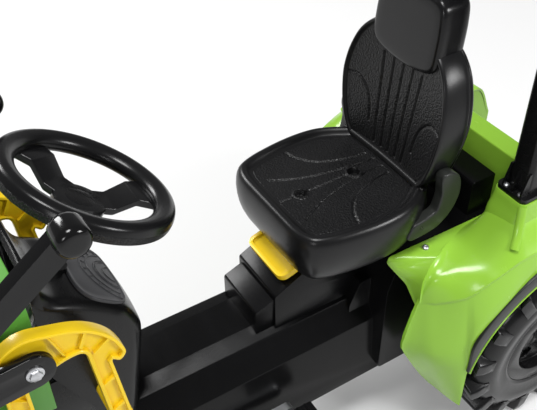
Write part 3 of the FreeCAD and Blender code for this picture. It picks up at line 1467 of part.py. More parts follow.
for hand in (1, -1):
    lug_root = (bucket_rear_x, arm_front_z)
    lug = bar_between(arm_tip, lug_root, bucket_lug_half * 2, lug_low_y, lug_low_y + bucket_lug_thick)
    lug = lug.cut(prism_y(scoop_outline, -bucket_half, bucket_half))
    bucket = bucket.fuse(lug if hand > 0 else across(lug))
bucket_pin_length = lug_low_y + bucket_lug_thick + body_gap - arm_inner_y
pins = []
for hand in (1, -1):
    spot = Vector(arm_front_x, arm_inner_y, arm_front_z)
    bore = rod(bucket_pin_radius + running_gap, bucket_pin_length, spot, Y_AXIS)
    pin = rod(bucket_pin_radius, bucket_pin_length, spot, Y_AXIS)
    bucket = bucket.cut(bore if hand > 0 else across(bore))
    pins.append(pin if hand > 0 else across(pin))
pieces["bucket"] = bucket.removeSplitter()
pieces["bucket_pins"] = grouped(pins)

# Rear hitch: a jaw with a pin bore on a back plate
hitch_foot_z = hitch_z - hitch_gap / 2 - hitch_plate
hitch_top_z = hitch_z + hitch_gap / 2 + hitch_plate
hitch_root_x = platform_rear_x - hitch_back_thick
jaw = box(-hitch_reach, hitch_root_x, -hitch_half, hitch_half, hitch_foot_z, hitch_top_z)
jaw = rounded(jaw, hitch_half / 2, Z_AXIS)
jaw_half = hitch_half + overrun
jaw = jaw.cut(box(-hitch_reach - overrun, hitch_root_x - hitch_plate, -jaw_half, jaw_half,
                  hitch_z - hitch_gap / 2, hitch_z + hitch_gap / 2))
jaw = jaw.fuse(box(hitch_root_x, platform_rear_x, -hitch_back_half, hitch_back_half,
                   hitch_z - hitch_back_height / 2, hitch_z + hitch_back_height / 2))
bore_foot = Vector(-hitch_reach + hitch_bore_inset, 0, hitch_foot_z - overrun)
jaw = jaw.cut(rod(hitch_bore, hitch_top_z - hitch_foot_z + overrun * 2, bore_foot, Z_AXIS))
pieces["hitch_jaw"] = jaw.removeSplitter()

# Screws that hold the fender decks
deck_screw_y = platform_half + screw_radius * 2
deck_screws = []
for hand in (1, -1):
    spot = Vector(deck_screw_x, deck_screw_y * hand, deck_z)
    deck_screws.append(rod(screw_radius, screw_head, spot, Z_AXIS))
pieces["deck_screws"] = grouped(deck_screws)

# The finished part is centred over the middle of its length
middle = Vector(-middle_x, 0, 0)
for name, shape in pieces.items():
    moved = shape.copy()
    moved.translate(middle)
    moved.exportStep("parts/" + name + ".step")
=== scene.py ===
"""Looks of the ride on tractor toy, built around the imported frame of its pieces."""

import json
import logging
import math
from dataclasses import dataclass
from enum import Enum
from itertools import accumulate
from typing import Callable, Optional, Sequence, Union

import bmesh
import bpy
from mathutils import Matrix, Vector
from mathutils.kdtree import KDTree

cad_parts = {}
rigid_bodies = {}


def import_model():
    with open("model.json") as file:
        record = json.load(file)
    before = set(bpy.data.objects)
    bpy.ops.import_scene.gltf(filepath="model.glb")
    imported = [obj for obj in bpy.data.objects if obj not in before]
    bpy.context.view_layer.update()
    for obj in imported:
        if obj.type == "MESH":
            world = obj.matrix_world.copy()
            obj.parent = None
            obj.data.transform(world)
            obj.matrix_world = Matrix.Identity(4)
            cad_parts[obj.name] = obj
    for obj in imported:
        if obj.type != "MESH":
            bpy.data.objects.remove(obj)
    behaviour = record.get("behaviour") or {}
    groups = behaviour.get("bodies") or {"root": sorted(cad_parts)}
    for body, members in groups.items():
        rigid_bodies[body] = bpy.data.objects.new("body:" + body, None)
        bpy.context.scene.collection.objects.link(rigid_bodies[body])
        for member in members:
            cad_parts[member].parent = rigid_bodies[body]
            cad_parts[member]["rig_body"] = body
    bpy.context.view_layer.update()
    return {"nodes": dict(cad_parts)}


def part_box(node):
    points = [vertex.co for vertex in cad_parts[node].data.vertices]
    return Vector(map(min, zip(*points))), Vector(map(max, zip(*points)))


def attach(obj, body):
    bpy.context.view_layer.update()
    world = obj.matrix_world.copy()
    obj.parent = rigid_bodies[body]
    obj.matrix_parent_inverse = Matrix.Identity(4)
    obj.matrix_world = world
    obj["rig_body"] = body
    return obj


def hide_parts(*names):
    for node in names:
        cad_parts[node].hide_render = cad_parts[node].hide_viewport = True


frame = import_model()

LOG = logging.getLogger("tractor")
MM = 0.001
LEVEL = 51.0
SEAM = 1e-5
SLIVER = 1e-6
CAD_SEAM = 2e-6
FLAT_ANGLE = math.radians(0.6)
LEG_SHARE = 0.48
AXLE_X = (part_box("rear_axle")[0].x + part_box("rear_axle")[1].x) / 2
ACROSS = Vector((0, 1, 0))
UPWARD = Vector((0, 0, 1))
Colour = tuple[float, float, float]
Place = tuple[float, float, float]
Plan = Sequence[tuple[float, float]]
Path = Sequence[Vector]


class Side(Enum):
    """A side of the tractor, as its sign along Y."""

    LEFT = 1
    RIGHT = -1

    @property
    def word(self) -> str:
        """The side's name in the names of pieces."""
        return self.name.lower()


def spot(x: float, y: float, rise: float) -> Vector:
    """A point of the body in the row frame.

    Args:
        x: millimetres ahead of the rear axle.
        y: millimetres to the rider's left.
        rise: millimetres above the body's level line.

    Returns:
        The point in metres.
    """
    return Vector((AXLE_X + x * MM, y * MM, (rise + LEVEL) * MM))


def flat(a: float, b: float) -> Vector:
    """A point of a drawing plane, in millimetres."""
    return Vector((a, b, 0.0))


def flats(places: Plan) -> list[Vector]:
    """Points of a drawing plane from their places in it."""
    return [flat(*place) for place in places]


def eased(share: float) -> float:
    """A share that starts and ends slowly, held between 0 and 1."""
    held = min(1.0, max(0.0, share))
    return held * held * (3 - 2 * held)


def soft_path(points: Path, cuts: Union[float, Sequence[float]], closed: bool = False, bends: int = 5,
              runs: int = 3) -> list[Vector]:
    """A path with rounded corners, whose count of points doesn't depend on its sizes.

    Args:
        points: the corners.
        cuts: how far before and after each corner its rounding starts.
        closed: whether the last corner joins the first.
        bends: the steps of each rounding.
        runs: the steps of each straight run.

    Returns:
        The points along the path.
    """
    count = len(points)
    widths = [cuts] * count if isinstance(cuts, (int, float)) else list(cuts)
    arcs = []
    for number, here in enumerate(points):
        if not closed and number in (0, count - 1):
            arcs.append([here])
            continue
        back, on = points[number - 1] - here, points[(number + 1) % count] - here
        start = here + back.normalized() * min(widths[number], back.length * LEG_SHARE)
        end = here + on.normalized() * min(widths[number], on.length * LEG_SHARE)
        shares = [step / bends for step in range(bends + 1)]
        arcs.append([start.lerp(here, share).lerp(here.lerp(end, share), share) for share in shares])
    path = []
    for number, arc in enumerate(arcs):
        path.extend(arc)
        if closed or number < count - 1:
            goal = arcs[(number + 1) % count][0]
            path.extend(arc[-1].lerp(goal, step / runs) for step in range(1, runs))
    return path


def flowing(points: Path, steps: int) -> list[Vector]:
    """A smooth open curve through points, with a number of steps between neighbours."""
    held = [points[0] * 2 - points[1], *points, points[-1] * 2 - points[-2]]
    curve = []
    for before, start, end, after in zip(held, held[1:], held[2:], held[3:]):
        for step in range(steps):
            t = step / steps
            slope_in, slope_out = (end - before) / 2, (after - start) / 2
            curve.append(start * (2 * t**3 - 3 * t**2 + 1) + slope_in * (t**3 - 2 * t**2 + t)
                         + end * (3 * t**2 - 2 * t**3) + slope_out * (t**3 - t**2))
    return [*curve, points[-1].copy()]


def even(path: Path, count: int) -> list[Vector]:
    """A number of points that are spread evenly round a closed path."""
    ring = [*path, path[0]]
    lengths = list(accumulate(((after - here).length for here, after in zip(ring, ring[1:])), initial=0.0))
    spots, leg = [], 0
    for number in range(count):
        wanted = lengths[-1] * number / count
        while lengths[leg + 1] <= wanted:
            leg += 1
        share = (wanted - lengths[leg]) / (lengths[leg + 1] - lengths[leg])
        spots.append(ring[leg].lerp(ring[leg + 1], share))
    return spots


def whole_outline(half: Plan, mirror: tuple[int, int], count: int, steps: int = 8) -> list[Vector]:
    """A closed outline from one half of it.

    Args:
        half: the half's places, from one end of the middle line to the other.
        mirror: the signs that mirror a place.
        count: the points of the whole outline, evenly spread.
        steps: the steps between two places.

    Returns:
        The points of the outline.
    """
    edge = flowing(flats(half), steps)
    other = [flat(point.x * mirror[0], point.y * mirror[1]) for point in reversed(edge[1:-1])]
    return even([*edge, *other], count)


def upright_ring(outline: Path, inset: float, y: float) -> list[Vector]:
    """An outline of x and rise at an inset, at one distance from the middle plane."""
    return [spot(point.x - way.x * inset, y, point.y - way.y * inset) for point, way in zip(outline, outward(outline))]


def outward(ring: Path) -> list[Vector]:
    """The way out at each point of a closed ring in a drawing plane."""
    area = sum(here.x * after.y - after.x * here.y for here, after in zip(ring, [*ring[1:], ring[0]]))
    hand = 1 if area > 0 else -1
    ways = []
    for number in range(len(ring)):
        along = ring[(number + 1) % len(ring)] - ring[number - 1]
        ways.append(flat(along.y, -along.x).normalized() * hand)
    return ways


class Grooves:
    """Lines that are pressed into a moulded surface."""

    steps = 60

    def __init__(self, lines: Sequence[Plan], width: float, depth: float) -> None:
        """Takes the lines, their half width and their depth in millimetres."""
        self.width, self.depth = width, depth
        points = [point for line in lines for point in flowing(flats(line), self.steps)]
        self.tree = KDTree(len(points))
        for number, point in enumerate(points):
            self.tree.insert(point, number)
        self.tree.balance()

    def at(self, point: Vector) -> float:
        """The depth that is pressed at a point of the drawing plane."""
        return self.depth * (1 - eased(self.tree.find(point)[2] / self.width))


class Value:
    """A shader value that takes part in Python expressions."""

    def __init__(self, graph: "Graph", socket: bpy.types.NodeSocket) -> None:
        """Keeps the graph and the socket that gives the value."""
        self.graph = graph
        self.socket = socket

    def _pair(self, operation: str, first: "Input", second: "Input") -> "Value":
        """Adds one Math node for the two inputs and returns its value."""
        return self.graph.node("ShaderNodeMath", {"operation": operation}, {0: first, 1: second})

    def __add__(self, other: "Input") -> "Value":
        """Value plus other."""
        return self._pair("ADD", self, other)

    def __radd__(self, other: "Input") -> "Value":
        """Other plus value."""
        return self._pair("ADD", other, self)

    def __sub__(self, other: "Input") -> "Value":
        """Value minus other."""
        return self._pair("SUBTRACT", self, other)

    def __rsub__(self, other: "Input") -> "Value":
        """Other minus value."""
        return self._pair("SUBTRACT", other, self)

    def __mul__(self, other: "Input") -> "Value":
        """Value times other."""
        return self._pair("MULTIPLY", self, other)


Input = Union[Value, float, Colour, tuple[float, float, float, float]]


class Graph:
    """The node tree of one material, with a principled surface."""

    def __init__(self, name: str) -> None:
        """Starts an empty material with its surface shader."""
        self.material = bpy.data.materials.new(name)
        self.material.use_nodes = True
        self.tree = self.material.node_tree
        self.tree.nodes.clear()
        output = self.tree.nodes.new("ShaderNodeOutputMaterial")
        self.shader = self.tree.nodes.new("ShaderNodeBsdfPrincipled")
        self.tree.links.new(self.shader.outputs[0], output.inputs[0])

    def node(self, kind: str, settings: Optional[dict] = None, inputs: Optional[dict] = None,
             output: Union[int, str] = 0) -> Value:
        """Adds a node.

        Args:
            kind: the node's type.
            settings: its properties.
            inputs: the values or links of its sockets, by name or number.
            output: the output that is wanted.

        Returns:
            The value of that output.
        """
        made = self.tree.nodes.new(kind)
        for key, setting in (settings or {}).items():
            setattr(made, key, setting)
        for key, given in (inputs or {}).items():
            self.feed(made.inputs[key], given)
        return Value(self, made.outputs[output])

    def feed(self, socket: bpy.types.NodeSocket, given: Input) -> None:
        """Links a value to a socket, or sets the socket's own number or colour."""
        if isinstance(given, Value):
            self.tree.links.new(given.socket, socket)
        elif isinstance(given, tuple) and len(given) == 3 and socket.type == "RGBA":
            socket.default_value = (*given, 1.0)
        else:
            socket.default_value = given

    def surface(self, **inputs: Input) -> None:
        """Feeds the surface shader's sockets, with underscores for spaces in their names."""
        for key, given in inputs.items():
            self.feed(self.shader.inputs[key.replace("_", " ")], given)

    def place(self, scale: Place = (1.0, 1.0, 1.0)) -> Value:
        """Object coordinates, stretched by scale."""
        coordinates = self.node("ShaderNodeTexCoord", output="Object")
        return self.node("ShaderNodeMapping", inputs={"Vector": coordinates, "Scale": scale})

    def noise(self, scale: float, detail: float = 2.0, stretch: Place = (1.0, 1.0, 1.0)) -> Value:
        """Noise on object coordinates, from 0 to 1."""
        inputs = {"Vector": self.place(stretch), "Scale": scale, "Detail": detail}
        return self.node("ShaderNodeTexNoise", inputs=inputs)

    def blend(self, share: Input, first: Input, second: Input) -> Value:
        """A colour that goes from first to second as share goes from 0 to 1."""
        return self.node("ShaderNodeMix", {"data_type": "RGBA"}, {0: share, 6: first, 7: second}, output=2)

    def relief(self, height: Input, depth: float, under: Optional[Value] = None) -> Value:
        """A normal from a height, depth metres from its 0 to its 1."""
        inputs = {"Height": height, "Distance": depth, "Strength": 1.0}
        if under is not None:
            inputs["Normal"] = under
        return self.node("ShaderNodeBump", inputs=inputs)


def shaded(colour: Colour, share: float) -> Colour:
    """A colour that is darker or lighter by a share of itself."""
    return tuple(min(1.0, part * share) for part in colour)


@dataclass(frozen=True)
class Finish:
    """A finish that makes its material once."""

    name: str
    slot: str

    def material(self) -> bpy.types.Material:
        """The finish's material, made at its first use."""
        found = bpy.data.materials.get(self.name)
        return found or self.make(Graph(self.name))

    def make(self, graph: Graph) -> bpy.types.Material:
        """Fills the graph and returns its material."""
        return graph.material


@dataclass(frozen=True)
class Moulded(Finish):
    """Moulded plastic with a fine surface, faint drifts of colour and handling marks."""

    colour: Colour = (0.5, 0.5, 0.5)
    roughness: float = 0.35
    rough_drift: float = 0.12
    mottle: float = 0.08
    grain_size: float = 0.0011
    grain_depth: float = 0.00003
    waviness: float = 0.00025
    coat: float = 0.0
    coat_roughness: float = 0.12
    specular: float = 0.27
    drift_scale: float = 11.0
    mark_scale: float = 60.0
    mark_stretch: Place = (1.0, 0.22, 0.6)
    wave_scale: float = 22.0

    def make(self, graph: Graph) -> bpy.types.Material:
        """Fills the graph and returns its material."""
        drift = graph.noise(self.drift_scale, 3.0)
        marks = graph.noise(self.mark_scale, 4.0, self.mark_stretch)
        low, high = shaded(self.colour, 1 - self.mottle), shaded(self.colour, 1 + self.mottle)
        graph.surface(Base_Color=graph.blend(drift, low, high))
        graph.surface(Roughness=self.roughness + (marks - 0.5) * self.rough_drift)
        wavy = graph.relief(graph.noise(self.wave_scale, 1.0), self.waviness)
        grain = graph.relief(graph.noise(1 / self.grain_size), self.grain_depth, wavy)
        graph.surface(Normal=grain, Coat_Weight=self.coat, Coat_Roughness=self.coat_roughness)
        graph.surface(Specular_IOR_Level=self.specular)
        return graph.material


@dataclass(frozen=True)
class Grained(Finish):
    """Black plastic with a pebbled leather grain where the piece's grain attribute says so, and painted shade that
    darkens the hollows between the pebbles.
    """

    colour: Colour = (0.02, 0.02, 0.021)
    roughness: float = 0.3
    pebble: float = 0.0026
    depth: float = 0.00075
    specular: float = 0.27
    drift_scale: float = 14.0
    rough_drift: float = 0.12
    grain_rough: float = 0.06
    bend_scale: float = 300.0
    bend: float = 0.0016
    smoothness: float = 0.4
    fine_scale: float = 1500.0
    fine_depth: float = 0.00003
    tints: tuple[float, float] = (0.8, 1.25)
    # painted shade in the grain's hollows: how dark the hollows are painted, and how strongly
    pit_tint: float = 0.55
    pit_share: float = 0.5

    def make(self, graph: Graph) -> bpy.types.Material:
        """Fills the graph and returns its material."""
        mask = graph.node("ShaderNodeAttribute", {"attribute_name": "grain"}, output="Fac")
        drift = graph.noise(self.drift_scale, 3.0)
        inputs = {"Vector": graph.place(), "Scale": self.bend_scale}
        shift = graph.node("ShaderNodeTexNoise", inputs=inputs, output="Color")
        bent = graph.node("ShaderNodeVectorMath", {"operation": "MULTIPLY_ADD"},
                          {0: shift, 1: (self.bend, self.bend, self.bend), 2: graph.place()})
        cells = graph.node("ShaderNodeTexVoronoi", {"feature": "SMOOTH_F1"},
                           {"Vector": bent, "Scale": 1 / self.pebble, "Smoothness": self.smoothness})
        height = (1 - cells) * mask
        low, high = (shaded(self.colour, tint) for tint in self.tints)
        # painted shade: the base colour is darkened in the hollows between the pebbles, where the grain mask is set
        pit_shade_colour = shaded(self.colour, self.pit_tint)
        graph.surface(Base_Color=graph.blend(mask * cells * self.pit_share, graph.blend(drift, low, high), pit_shade_colour))
        graph.surface(Roughness=self.roughness + (drift - 0.5) * self.rough_drift + mask * self.grain_rough)
        base = graph.relief(graph.noise(self.fine_scale, 3.0), self.fine_depth)
        graph.surface(Normal=graph.relief(height, self.depth, base), Specular_IOR_Level=self.specular)
        return graph.material


@dataclass(frozen=True)
class Plated(Finish):
    """Zinc plated steel, faintly brushed."""

    colour: Colour = (0.62, 0.63, 0.65)
    roughness: float = 0.3
    bloom_scale: float = 45.0
    bloom_tint: float = 0.8
    bloom_rough: float = 0.15
    brush_scale: float = 700.0
    brush_stretch: Place = (0.05, 1.0, 1.0)
    brush_depth: float = 0.00002

    def make(self, graph: Graph) -> bpy.types.Material:
        """Fills the graph and returns its material."""
        bloom = graph.noise(self.bloom_scale, 3.0)
        brush = graph.noise(self.brush_scale, stretch=self.brush_stretch)
        graph.surface(Base_Color=graph.blend(bloom, shaded(self.colour, self.bloom_tint), self.colour))
        graph.surface(Metallic=1.0, Roughness=self.roughness + bloom * self.bloom_rough)
        graph.surface(Normal=graph.relief(brush, self.brush_depth))
        return graph.material


BLACK = Moulded("black_moulding", "black_plastic", colour=(0.0042, 0.0042, 0.0045), roughness=0.26)
GLOSS_BLACK = Moulded("glossy_black_moulding", "black_plastic", colour=(0.0036, 0.0036, 0.0039), roughness=0.13,
                      rough_drift=0.06, specular=0.32)
DEEP_BLACK = Moulded("deep_black_moulding", "black_plastic", colour=(0.0036, 0.0036, 0.0039), roughness=0.24,
                     specular=0.14)
GREY_BLACK = Moulded("olive_black_moulding", "black_plastic", colour=(0.018, 0.0195, 0.0175), roughness=0.3)
SEAT = Grained("grained_seat_moulding", "seat_plastic", colour=(0.006, 0.006, 0.0064))
SEAT_SMOOTH = Moulded("smooth_seat_moulding", "seat_plastic", colour=(0.005, 0.005, 0.0054), roughness=0.24)
WHEEL_GRIP = Grained("wheel_grip_moulding", "black_plastic", colour=(0.005, 0.005, 0.0054), roughness=0.24,
                     pebble=0.0019, depth=0.0011)
LIME = Moulded("lime_moulding", "lime_plastic", colour=(0.245, 0.475, 0.04), roughness=0.25, mottle=0.03, coat=0.25,
               grain_depth=0.000012)
HOOD_GREEN = Moulded("hood_green_moulding", "hood_plastic", colour=(0.085, 0.285, 0.04), roughness=0.34, mottle=0.04,
                     coat=0.1)
YELLOW = Moulded("yellow_moulding", "yellow_plastic", colour=(0.83, 0.57, 0.012), roughness=0.32, mottle=0.04,
                 coat=0.15)
GREY = Moulded("grey_moulding", "grey_plastic", colour=(0.05, 0.05, 0.054), roughness=0.4, grain_size=0.0016,
               grain_depth=0.00012)
TYRE = Moulded("tyre_moulding", "tyre_plastic", colour=(0.007, 0.007, 0.0074), roughness=0.24, rough_drift=0.1,
               waviness=0.0006)
STEEL = Plated("zinc_plate", "steel")
LENS = Moulded("lamp_lens", "lamp_plastic", colour=(0.78, 0.78, 0.76), roughness=0.12, coat=0.5)


def of_kind(items: Sequence, kind: type) -> list:
    """The items of one kind among those that a bmesh operator gives."""
    return [item for item in items if isinstance(item, kind)]


class Form:
    """A mesh in the making, shaped with bmesh operators."""

    back_shares = (0.6, 0.3, 0.0)
    edge_turns = (0, 22, 45, 68, 90)
    ridge_shape = ((-0.5, -1.0), (-0.5, 0.1), (-0.4, 0.62), (-0.2, 0.94), (0, 1),
                   (0.2, 0.94), (0.4, 0.62), (0.5, 0.1), (0.5, -1.0))

    def __init__(self) -> None:
        """Starts with an empty mesh."""
        self.mesh = bmesh.new()

    @property
    def whole(self) -> list:
        """All of the mesh's vertices, edges and faces."""
        return [*self.mesh.verts, *self.mesh.edges, *self.mesh.faces]

    @classmethod
    def copy_of(cls, node: str) -> "Form":
        """A merged copy of a CAD node, with its flat faces in one piece each."""
        form = cls()
        form.mesh.from_mesh(frame["nodes"][node].data)
        bmesh.ops.remove_doubles(form.mesh, verts=form.mesh.verts, dist=CAD_SEAM)
        bmesh.ops.dissolve_limit(form.mesh, angle_limit=FLAT_ANGLE, verts=form.mesh.verts, edges=form.mesh.edges)
        return form

    def soften(self, width: float, segments: int = 2, angle: float = 30.0) -> "Form":
        """Rounds the edges that are sharper than an angle.

        Args:
            width: the rounding's width in millimetres.
            segments: its steps.
            angle: the sharpest angle in degrees that stays as it is.

        Returns:
            The form itself.
        """
        limit = math.radians(angle)
        edges = [edge for edge in self.mesh.edges if edge.is_manifold and edge.calc_face_angle(0.0) > limit]
        bmesh.ops.bevel(self.mesh, geom=edges, offset=width * MM, offset_type="OFFSET", segments=segments,
                        profile=0.5, affect="EDGES", clamp_overlap=True, material=-1)
        return self

    def skin(self, across: int, along: int, place: Callable[[float, float], Vector],
             grain: Optional[Callable[[float], float]] = None) -> "Form":
        """A grid that is laid over a surface.

        Args:
            across: its cells in the first direction.
            along: its cells in the second direction.
            place: gives the point for two shares from 0 to 1.
            grain: gives the grain that a finish reads, for the second share.

        Returns:
            The form itself.
        """
        layers = self.mesh.verts.layers.float
        layer = layers.get("grain") or layers.new("grain")
        made = bmesh.ops.create_grid(self.mesh, x_segments=across, y_segments=along, size=0.5)
        for vertex in made["verts"]:
            u, v = vertex.co.x + 0.5, vertex.co.y + 0.5
            vertex.co = place(u, v)
            vertex[layer] = grain(v) if grain else 0.0
        return self

    def rows(self, rows: Sequence[Path], closed: bool = True, grained: int = 0) -> "Form":
        """A skin through rows of points.

        Args:
            rows: the rows, with the same number of points each.
            closed: whether each row closes on itself.
            grained: how many of the first rows carry a grain.

        Returns:
            The form itself.
        """
        count, last = len(rows[0]), len(rows) - 1
        around = count if closed else count - 1
        return self.skin(around, last, lambda u, v: rows[round(v * last)][round(u * around) % count],
                         lambda v: float(round(v * last) < grained))

    def loft(self, sections: Sequence[Path]) -> "Form":
        """A closed solid through sections with the same number of points."""
        ends = [[sum(ring, Vector()) / len(ring)] * len(ring) for ring in (sections[0], sections[-1])]
        return self.rows([ends[0], *sections, ends[1]])

    def pad(self, outline: Path, profile: Plan, rings: int, spine: Path,
            level: Callable[[Vector], float], place: Callable[[float, float, float], Vector]) -> "Form":
        """A moulded pad: a worked top inside a profiled edge, and a flat back.

        Args:
            outline: the pad's outline in its drawing plane, against the clock.
            profile: insets from the outline and heights, from the top's edge round to the back's.
            rings: the rings of the top.
            spine: the two ends of the line that the rings close on.
            level: the top's height at a point of the plane.
            place: gives the point for a place in the plane and a height.

        Returns:
            The form itself.
        """
        ways, (first, last) = outward(outline), spine
        along = last - first

        def inner(point: Vector) -> Vector:
            """The nearest point of the spine."""
            return first + along * min(1.0, max(0.0, (point - first).dot(along) / along.length_squared))

        def ring(inset: float) -> list[Vector]:
            """The outline at an inset."""
            return [point - way * inset for point, way in zip(outline, ways)]

        edge, back = ring(profile[0][0]), ring(profile[-1][0])
        skins = []
        for step in range(rings):
            points = [inner(point).lerp(point, step / rings) for point in edge]
            skins.append([place(point.x, point.y, level(point)) for point in points])
        for inset, height in profile:
            skins.append([place(point.x, point.y, height) for point in ring(inset)])
        for share in self.back_shares:
            points = [inner(point).lerp(point, share) for point in back]
            skins.append([place(point.x, point.y, profile[-1][1]) for point in points])
        return self.rows(skins, grained=rings)

    def thicken(self, depth: float, way_out: Vector) -> "Form":
        """Gives an open skin a wall below its outer face.

        Args:
            depth: the wall in millimetres.
            way_out: the way that most of the outer face looks.

        Returns:
            The form itself.
        """
        self.close()
        if sum(face.normal.dot(way_out) * face.calc_area() for face in self.mesh.faces) < 0:
            bmesh.ops.reverse_faces(self.mesh, faces=self.mesh.faces)
        bmesh.ops.solidify(self.mesh, geom=self.mesh.faces, thickness=depth * MM)
        return self

    def slab(self, outline: Path, low: float, high: float, rounding: float) -> "Form":
        """An upright plate with rounded edges.

        Args:
            outline: its closed outline, as points of x and rise.
            low: its inner face's distance from the middle plane.
            high: its outer face's distance.
            rounding: the radius of its edges.

        Returns:
            The form itself.
        """
        turns = [math.radians(angle) for angle in self.edge_turns]
        bends = [(rounding * (1 - math.sin(turn)), rounding * (1 - math.cos(turn))) for turn in turns]
        edge = [(inset, low + drop) for inset, drop in bends]
        edge += [(inset, high - drop) for inset, drop in reversed(bends)]
        rows = [upright_ring(outline, inset, y) for inset, y in edge]
        self.rows(rows)
        for row in (rows[0], rows[-1]):
            self.mesh.faces.new([self.mesh.verts.new(point) for point in row])
        return self

    def plate(self, outline: Sequence[Vector], travel: Vector) -> "Form":
        """A flat plate from an outline and the way that it is pulled."""
        face = self.mesh.faces.new([self.mesh.verts.new(point) for point in outline])
        made = bmesh.ops.extrude_face_region(self.mesh, geom=[face], use_keep_orig=True)
        bmesh.ops.translate(self.mesh, vec=travel, verts=of_kind(made["geom"], bmesh.types.BMVert))
        return self

    def lathe(self, profile: Sequence[Vector], centre: Vector, axis: Vector, steps: int = 48) -> "Form":
        """A turned piece from its profile."""
        points = [self.mesh.verts.new(point) for point in profile]
        edges = [self.mesh.edges.new(pair) for pair in zip(points, points[1:])]
        bmesh.ops.spin(self.mesh, geom=points + edges, cent=centre, axis=axis, dvec=(0, 0, 0), angle=math.tau,
                       steps=steps, use_merge=True, use_duplicate=False)
        return self

    def turned(self, profile: Plan, centre: Vector, steps: int) -> "Form":
        """A turned piece about a line across the tractor, from reaches and distances from the middle plane."""
        return self.lathe([centre + Vector((reach, y, 0)) * MM for reach, y in profile], centre, ACROSS, steps)

    def ridge(self, path: Path, out: Vector, width: float, height: float) -> "Form":
        """A raised rounded line along a path.

        Args:
            path: the points that it follows, in metres.
            out: the way that it stands out.
            width: its width in millimetres.
            height: how far it stands out, in millimetres.

        Returns:
            The form itself.
        """
        rows = []
        for number, point in enumerate(path):
            along = path[min(number + 1, len(path) - 1)] - path[max(number - 1, 0)]
            side = out.cross(along).normalized()
            rows.append([point + (side * width * across + out * height * up) * MM for across, up in self.ridge_shape])
        return self.loft(rows)

    def join(self, other: "Form") -> "Form":
        """Takes in another form's mesh."""
        carrier = bpy.data.meshes.new("carrier")
        other.mesh.to_mesh(carrier)
        other.mesh.free()
        self.mesh.from_mesh(carrier)
        bpy.data.meshes.remove(carrier)
        return self

    def cut_off(self, point: Vector, way: Vector) -> "Form":
        """Cuts off what lies past a plane and closes the cut."""
        made = bmesh.ops.bisect_plane(self.mesh, geom=self.whole, plane_co=point, plane_no=way, clear_outer=True)
        bmesh.ops.edgeloop_fill(self.mesh, edges=of_kind(made["geom_cut"], bmesh.types.BMEdge))
        return self

    def flip_over(self) -> "Form":
        """Moves the shape to the other side of the tractor."""
        bmesh.ops.scale(self.mesh, vec=(1, -1, 1), verts=self.mesh.verts)
        bmesh.ops.reverse_faces(self.mesh, faces=self.mesh.faces)
        return self

    def mirrored(self) -> "Form":
        """Adds the same shape at the other side of the tractor."""
        made = bmesh.ops.duplicate(self.mesh, geom=self.whole)
        bmesh.ops.scale(self.mesh, vec=(1, -1, 1), verts=of_kind(made["geom"], bmesh.types.BMVert))
        return self

    def close(self) -> "Form":
        """Merges seams and poles and turns the faces outwards."""
        bmesh.ops.remove_doubles(self.mesh, verts=self.mesh.verts, dist=SEAM)
        bmesh.ops.dissolve_degenerate(self.mesh, edges=self.mesh.edges, dist=SLIVER)
        bmesh.ops.recalc_face_normals(self.mesh, faces=self.mesh.faces)
        return self

    def piece(self, name: str, body: str, finish: Finish, replaced: Sequence[str] = (), angle: float = 38.0) -> None:
        """Makes the form a piece of the object.

        Args:
            name: the piece's name.
            body: the body that it rides on.
            finish: its finish.
            replaced: the CAD nodes that it stands for.
            angle: the angle in degrees past which an edge looks sharp.
        """
        mesh = bpy.data.meshes.new(name)
        self.mesh.to_mesh(mesh)
        self.mesh.free()
        mesh.shade_smooth()
        mesh.set_sharp_from_angle(angle=math.radians(angle))
        mesh.materials.append(finish.material())
        made = bpy.data.objects.new(name, mesh)
        bpy.context.scene.collection.objects.link(made)
        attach(made, body)
        if replaced:
            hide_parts(*replaced)
        LOG.info("%s rides on %s: %d faces", name, body, len(mesh.polygons))


def dress(node: str, finish: Finish) -> None:
    """Gives a CAD node its finish."""
    mesh = frame["nodes"][node].data
    mesh.materials.clear()
    mesh.materials.append(finish.material())
    LOG.info("%s is dressed as %s", node, finish.name)


def body_of(node: str) -> str:
    """The body that a CAD node rides on."""
    return frame["nodes"][node]["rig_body"]


def islands(node: str) -> list[tuple[Vector, Vector]]:
    """The lowest and highest corners of each separate solid of a CAD node."""
    mesh = Form.copy_of(node).mesh
    left, boxes = set(mesh.verts), []
    while left:
        queue, group = [left.pop()], []
        while queue:
            vertex = queue.pop()
            group.append(vertex.co.copy())
            near = {edge.other_vert(vertex) for edge in vertex.link_edges} & left
            left -= near
            queue.extend(near)
        boxes.append(tuple(Vector(pick(point[axis] for point in group) for axis in range(3)) for pick in (min, max)))
    mesh.free()
    return boxes


SCREW_DOME: Plan = ((1, 0), (1, 0.34), (0.94, 0.6), (0.78, 0.84), (0.52, 0.97), (0.36, 1.0), (0.31, 0.62), (0.14, 0.5),
                    (0, 0.5))


def screws(node: str, way: Vector) -> None:
    """Domed screw heads with a driver recess, in the places of a CAD node's plain ones.

    Args:
        node: the CAD node.
        way: the way that the heads look, along an axis.
    """
    form = Form()
    side = Vector((1, 0, 0))
    for low, high in islands(node):
        foot = (low + high) / 2 - way * (high - low).dot(way) / 2
        radius, height = (high - low).dot(side) / 2, (high - low).dot(way)
        profile = [foot + side * radius * reach + way * height * rise for reach, rise in SCREW_DOME]
        form.lathe(profile, foot, way, 24)
    form.close().piece(node + "_heads", body_of(node), STEEL, [node], angle=50)


def softened(node: str, finish: Finish, width: float, segments: int = 2) -> None:
    """A copy of a CAD node with rounded edges, which stands for it."""
    form = Form.copy_of(node).soften(width, segments)
    form.piece(node + "_moulding", body_of(node), finish, [node])


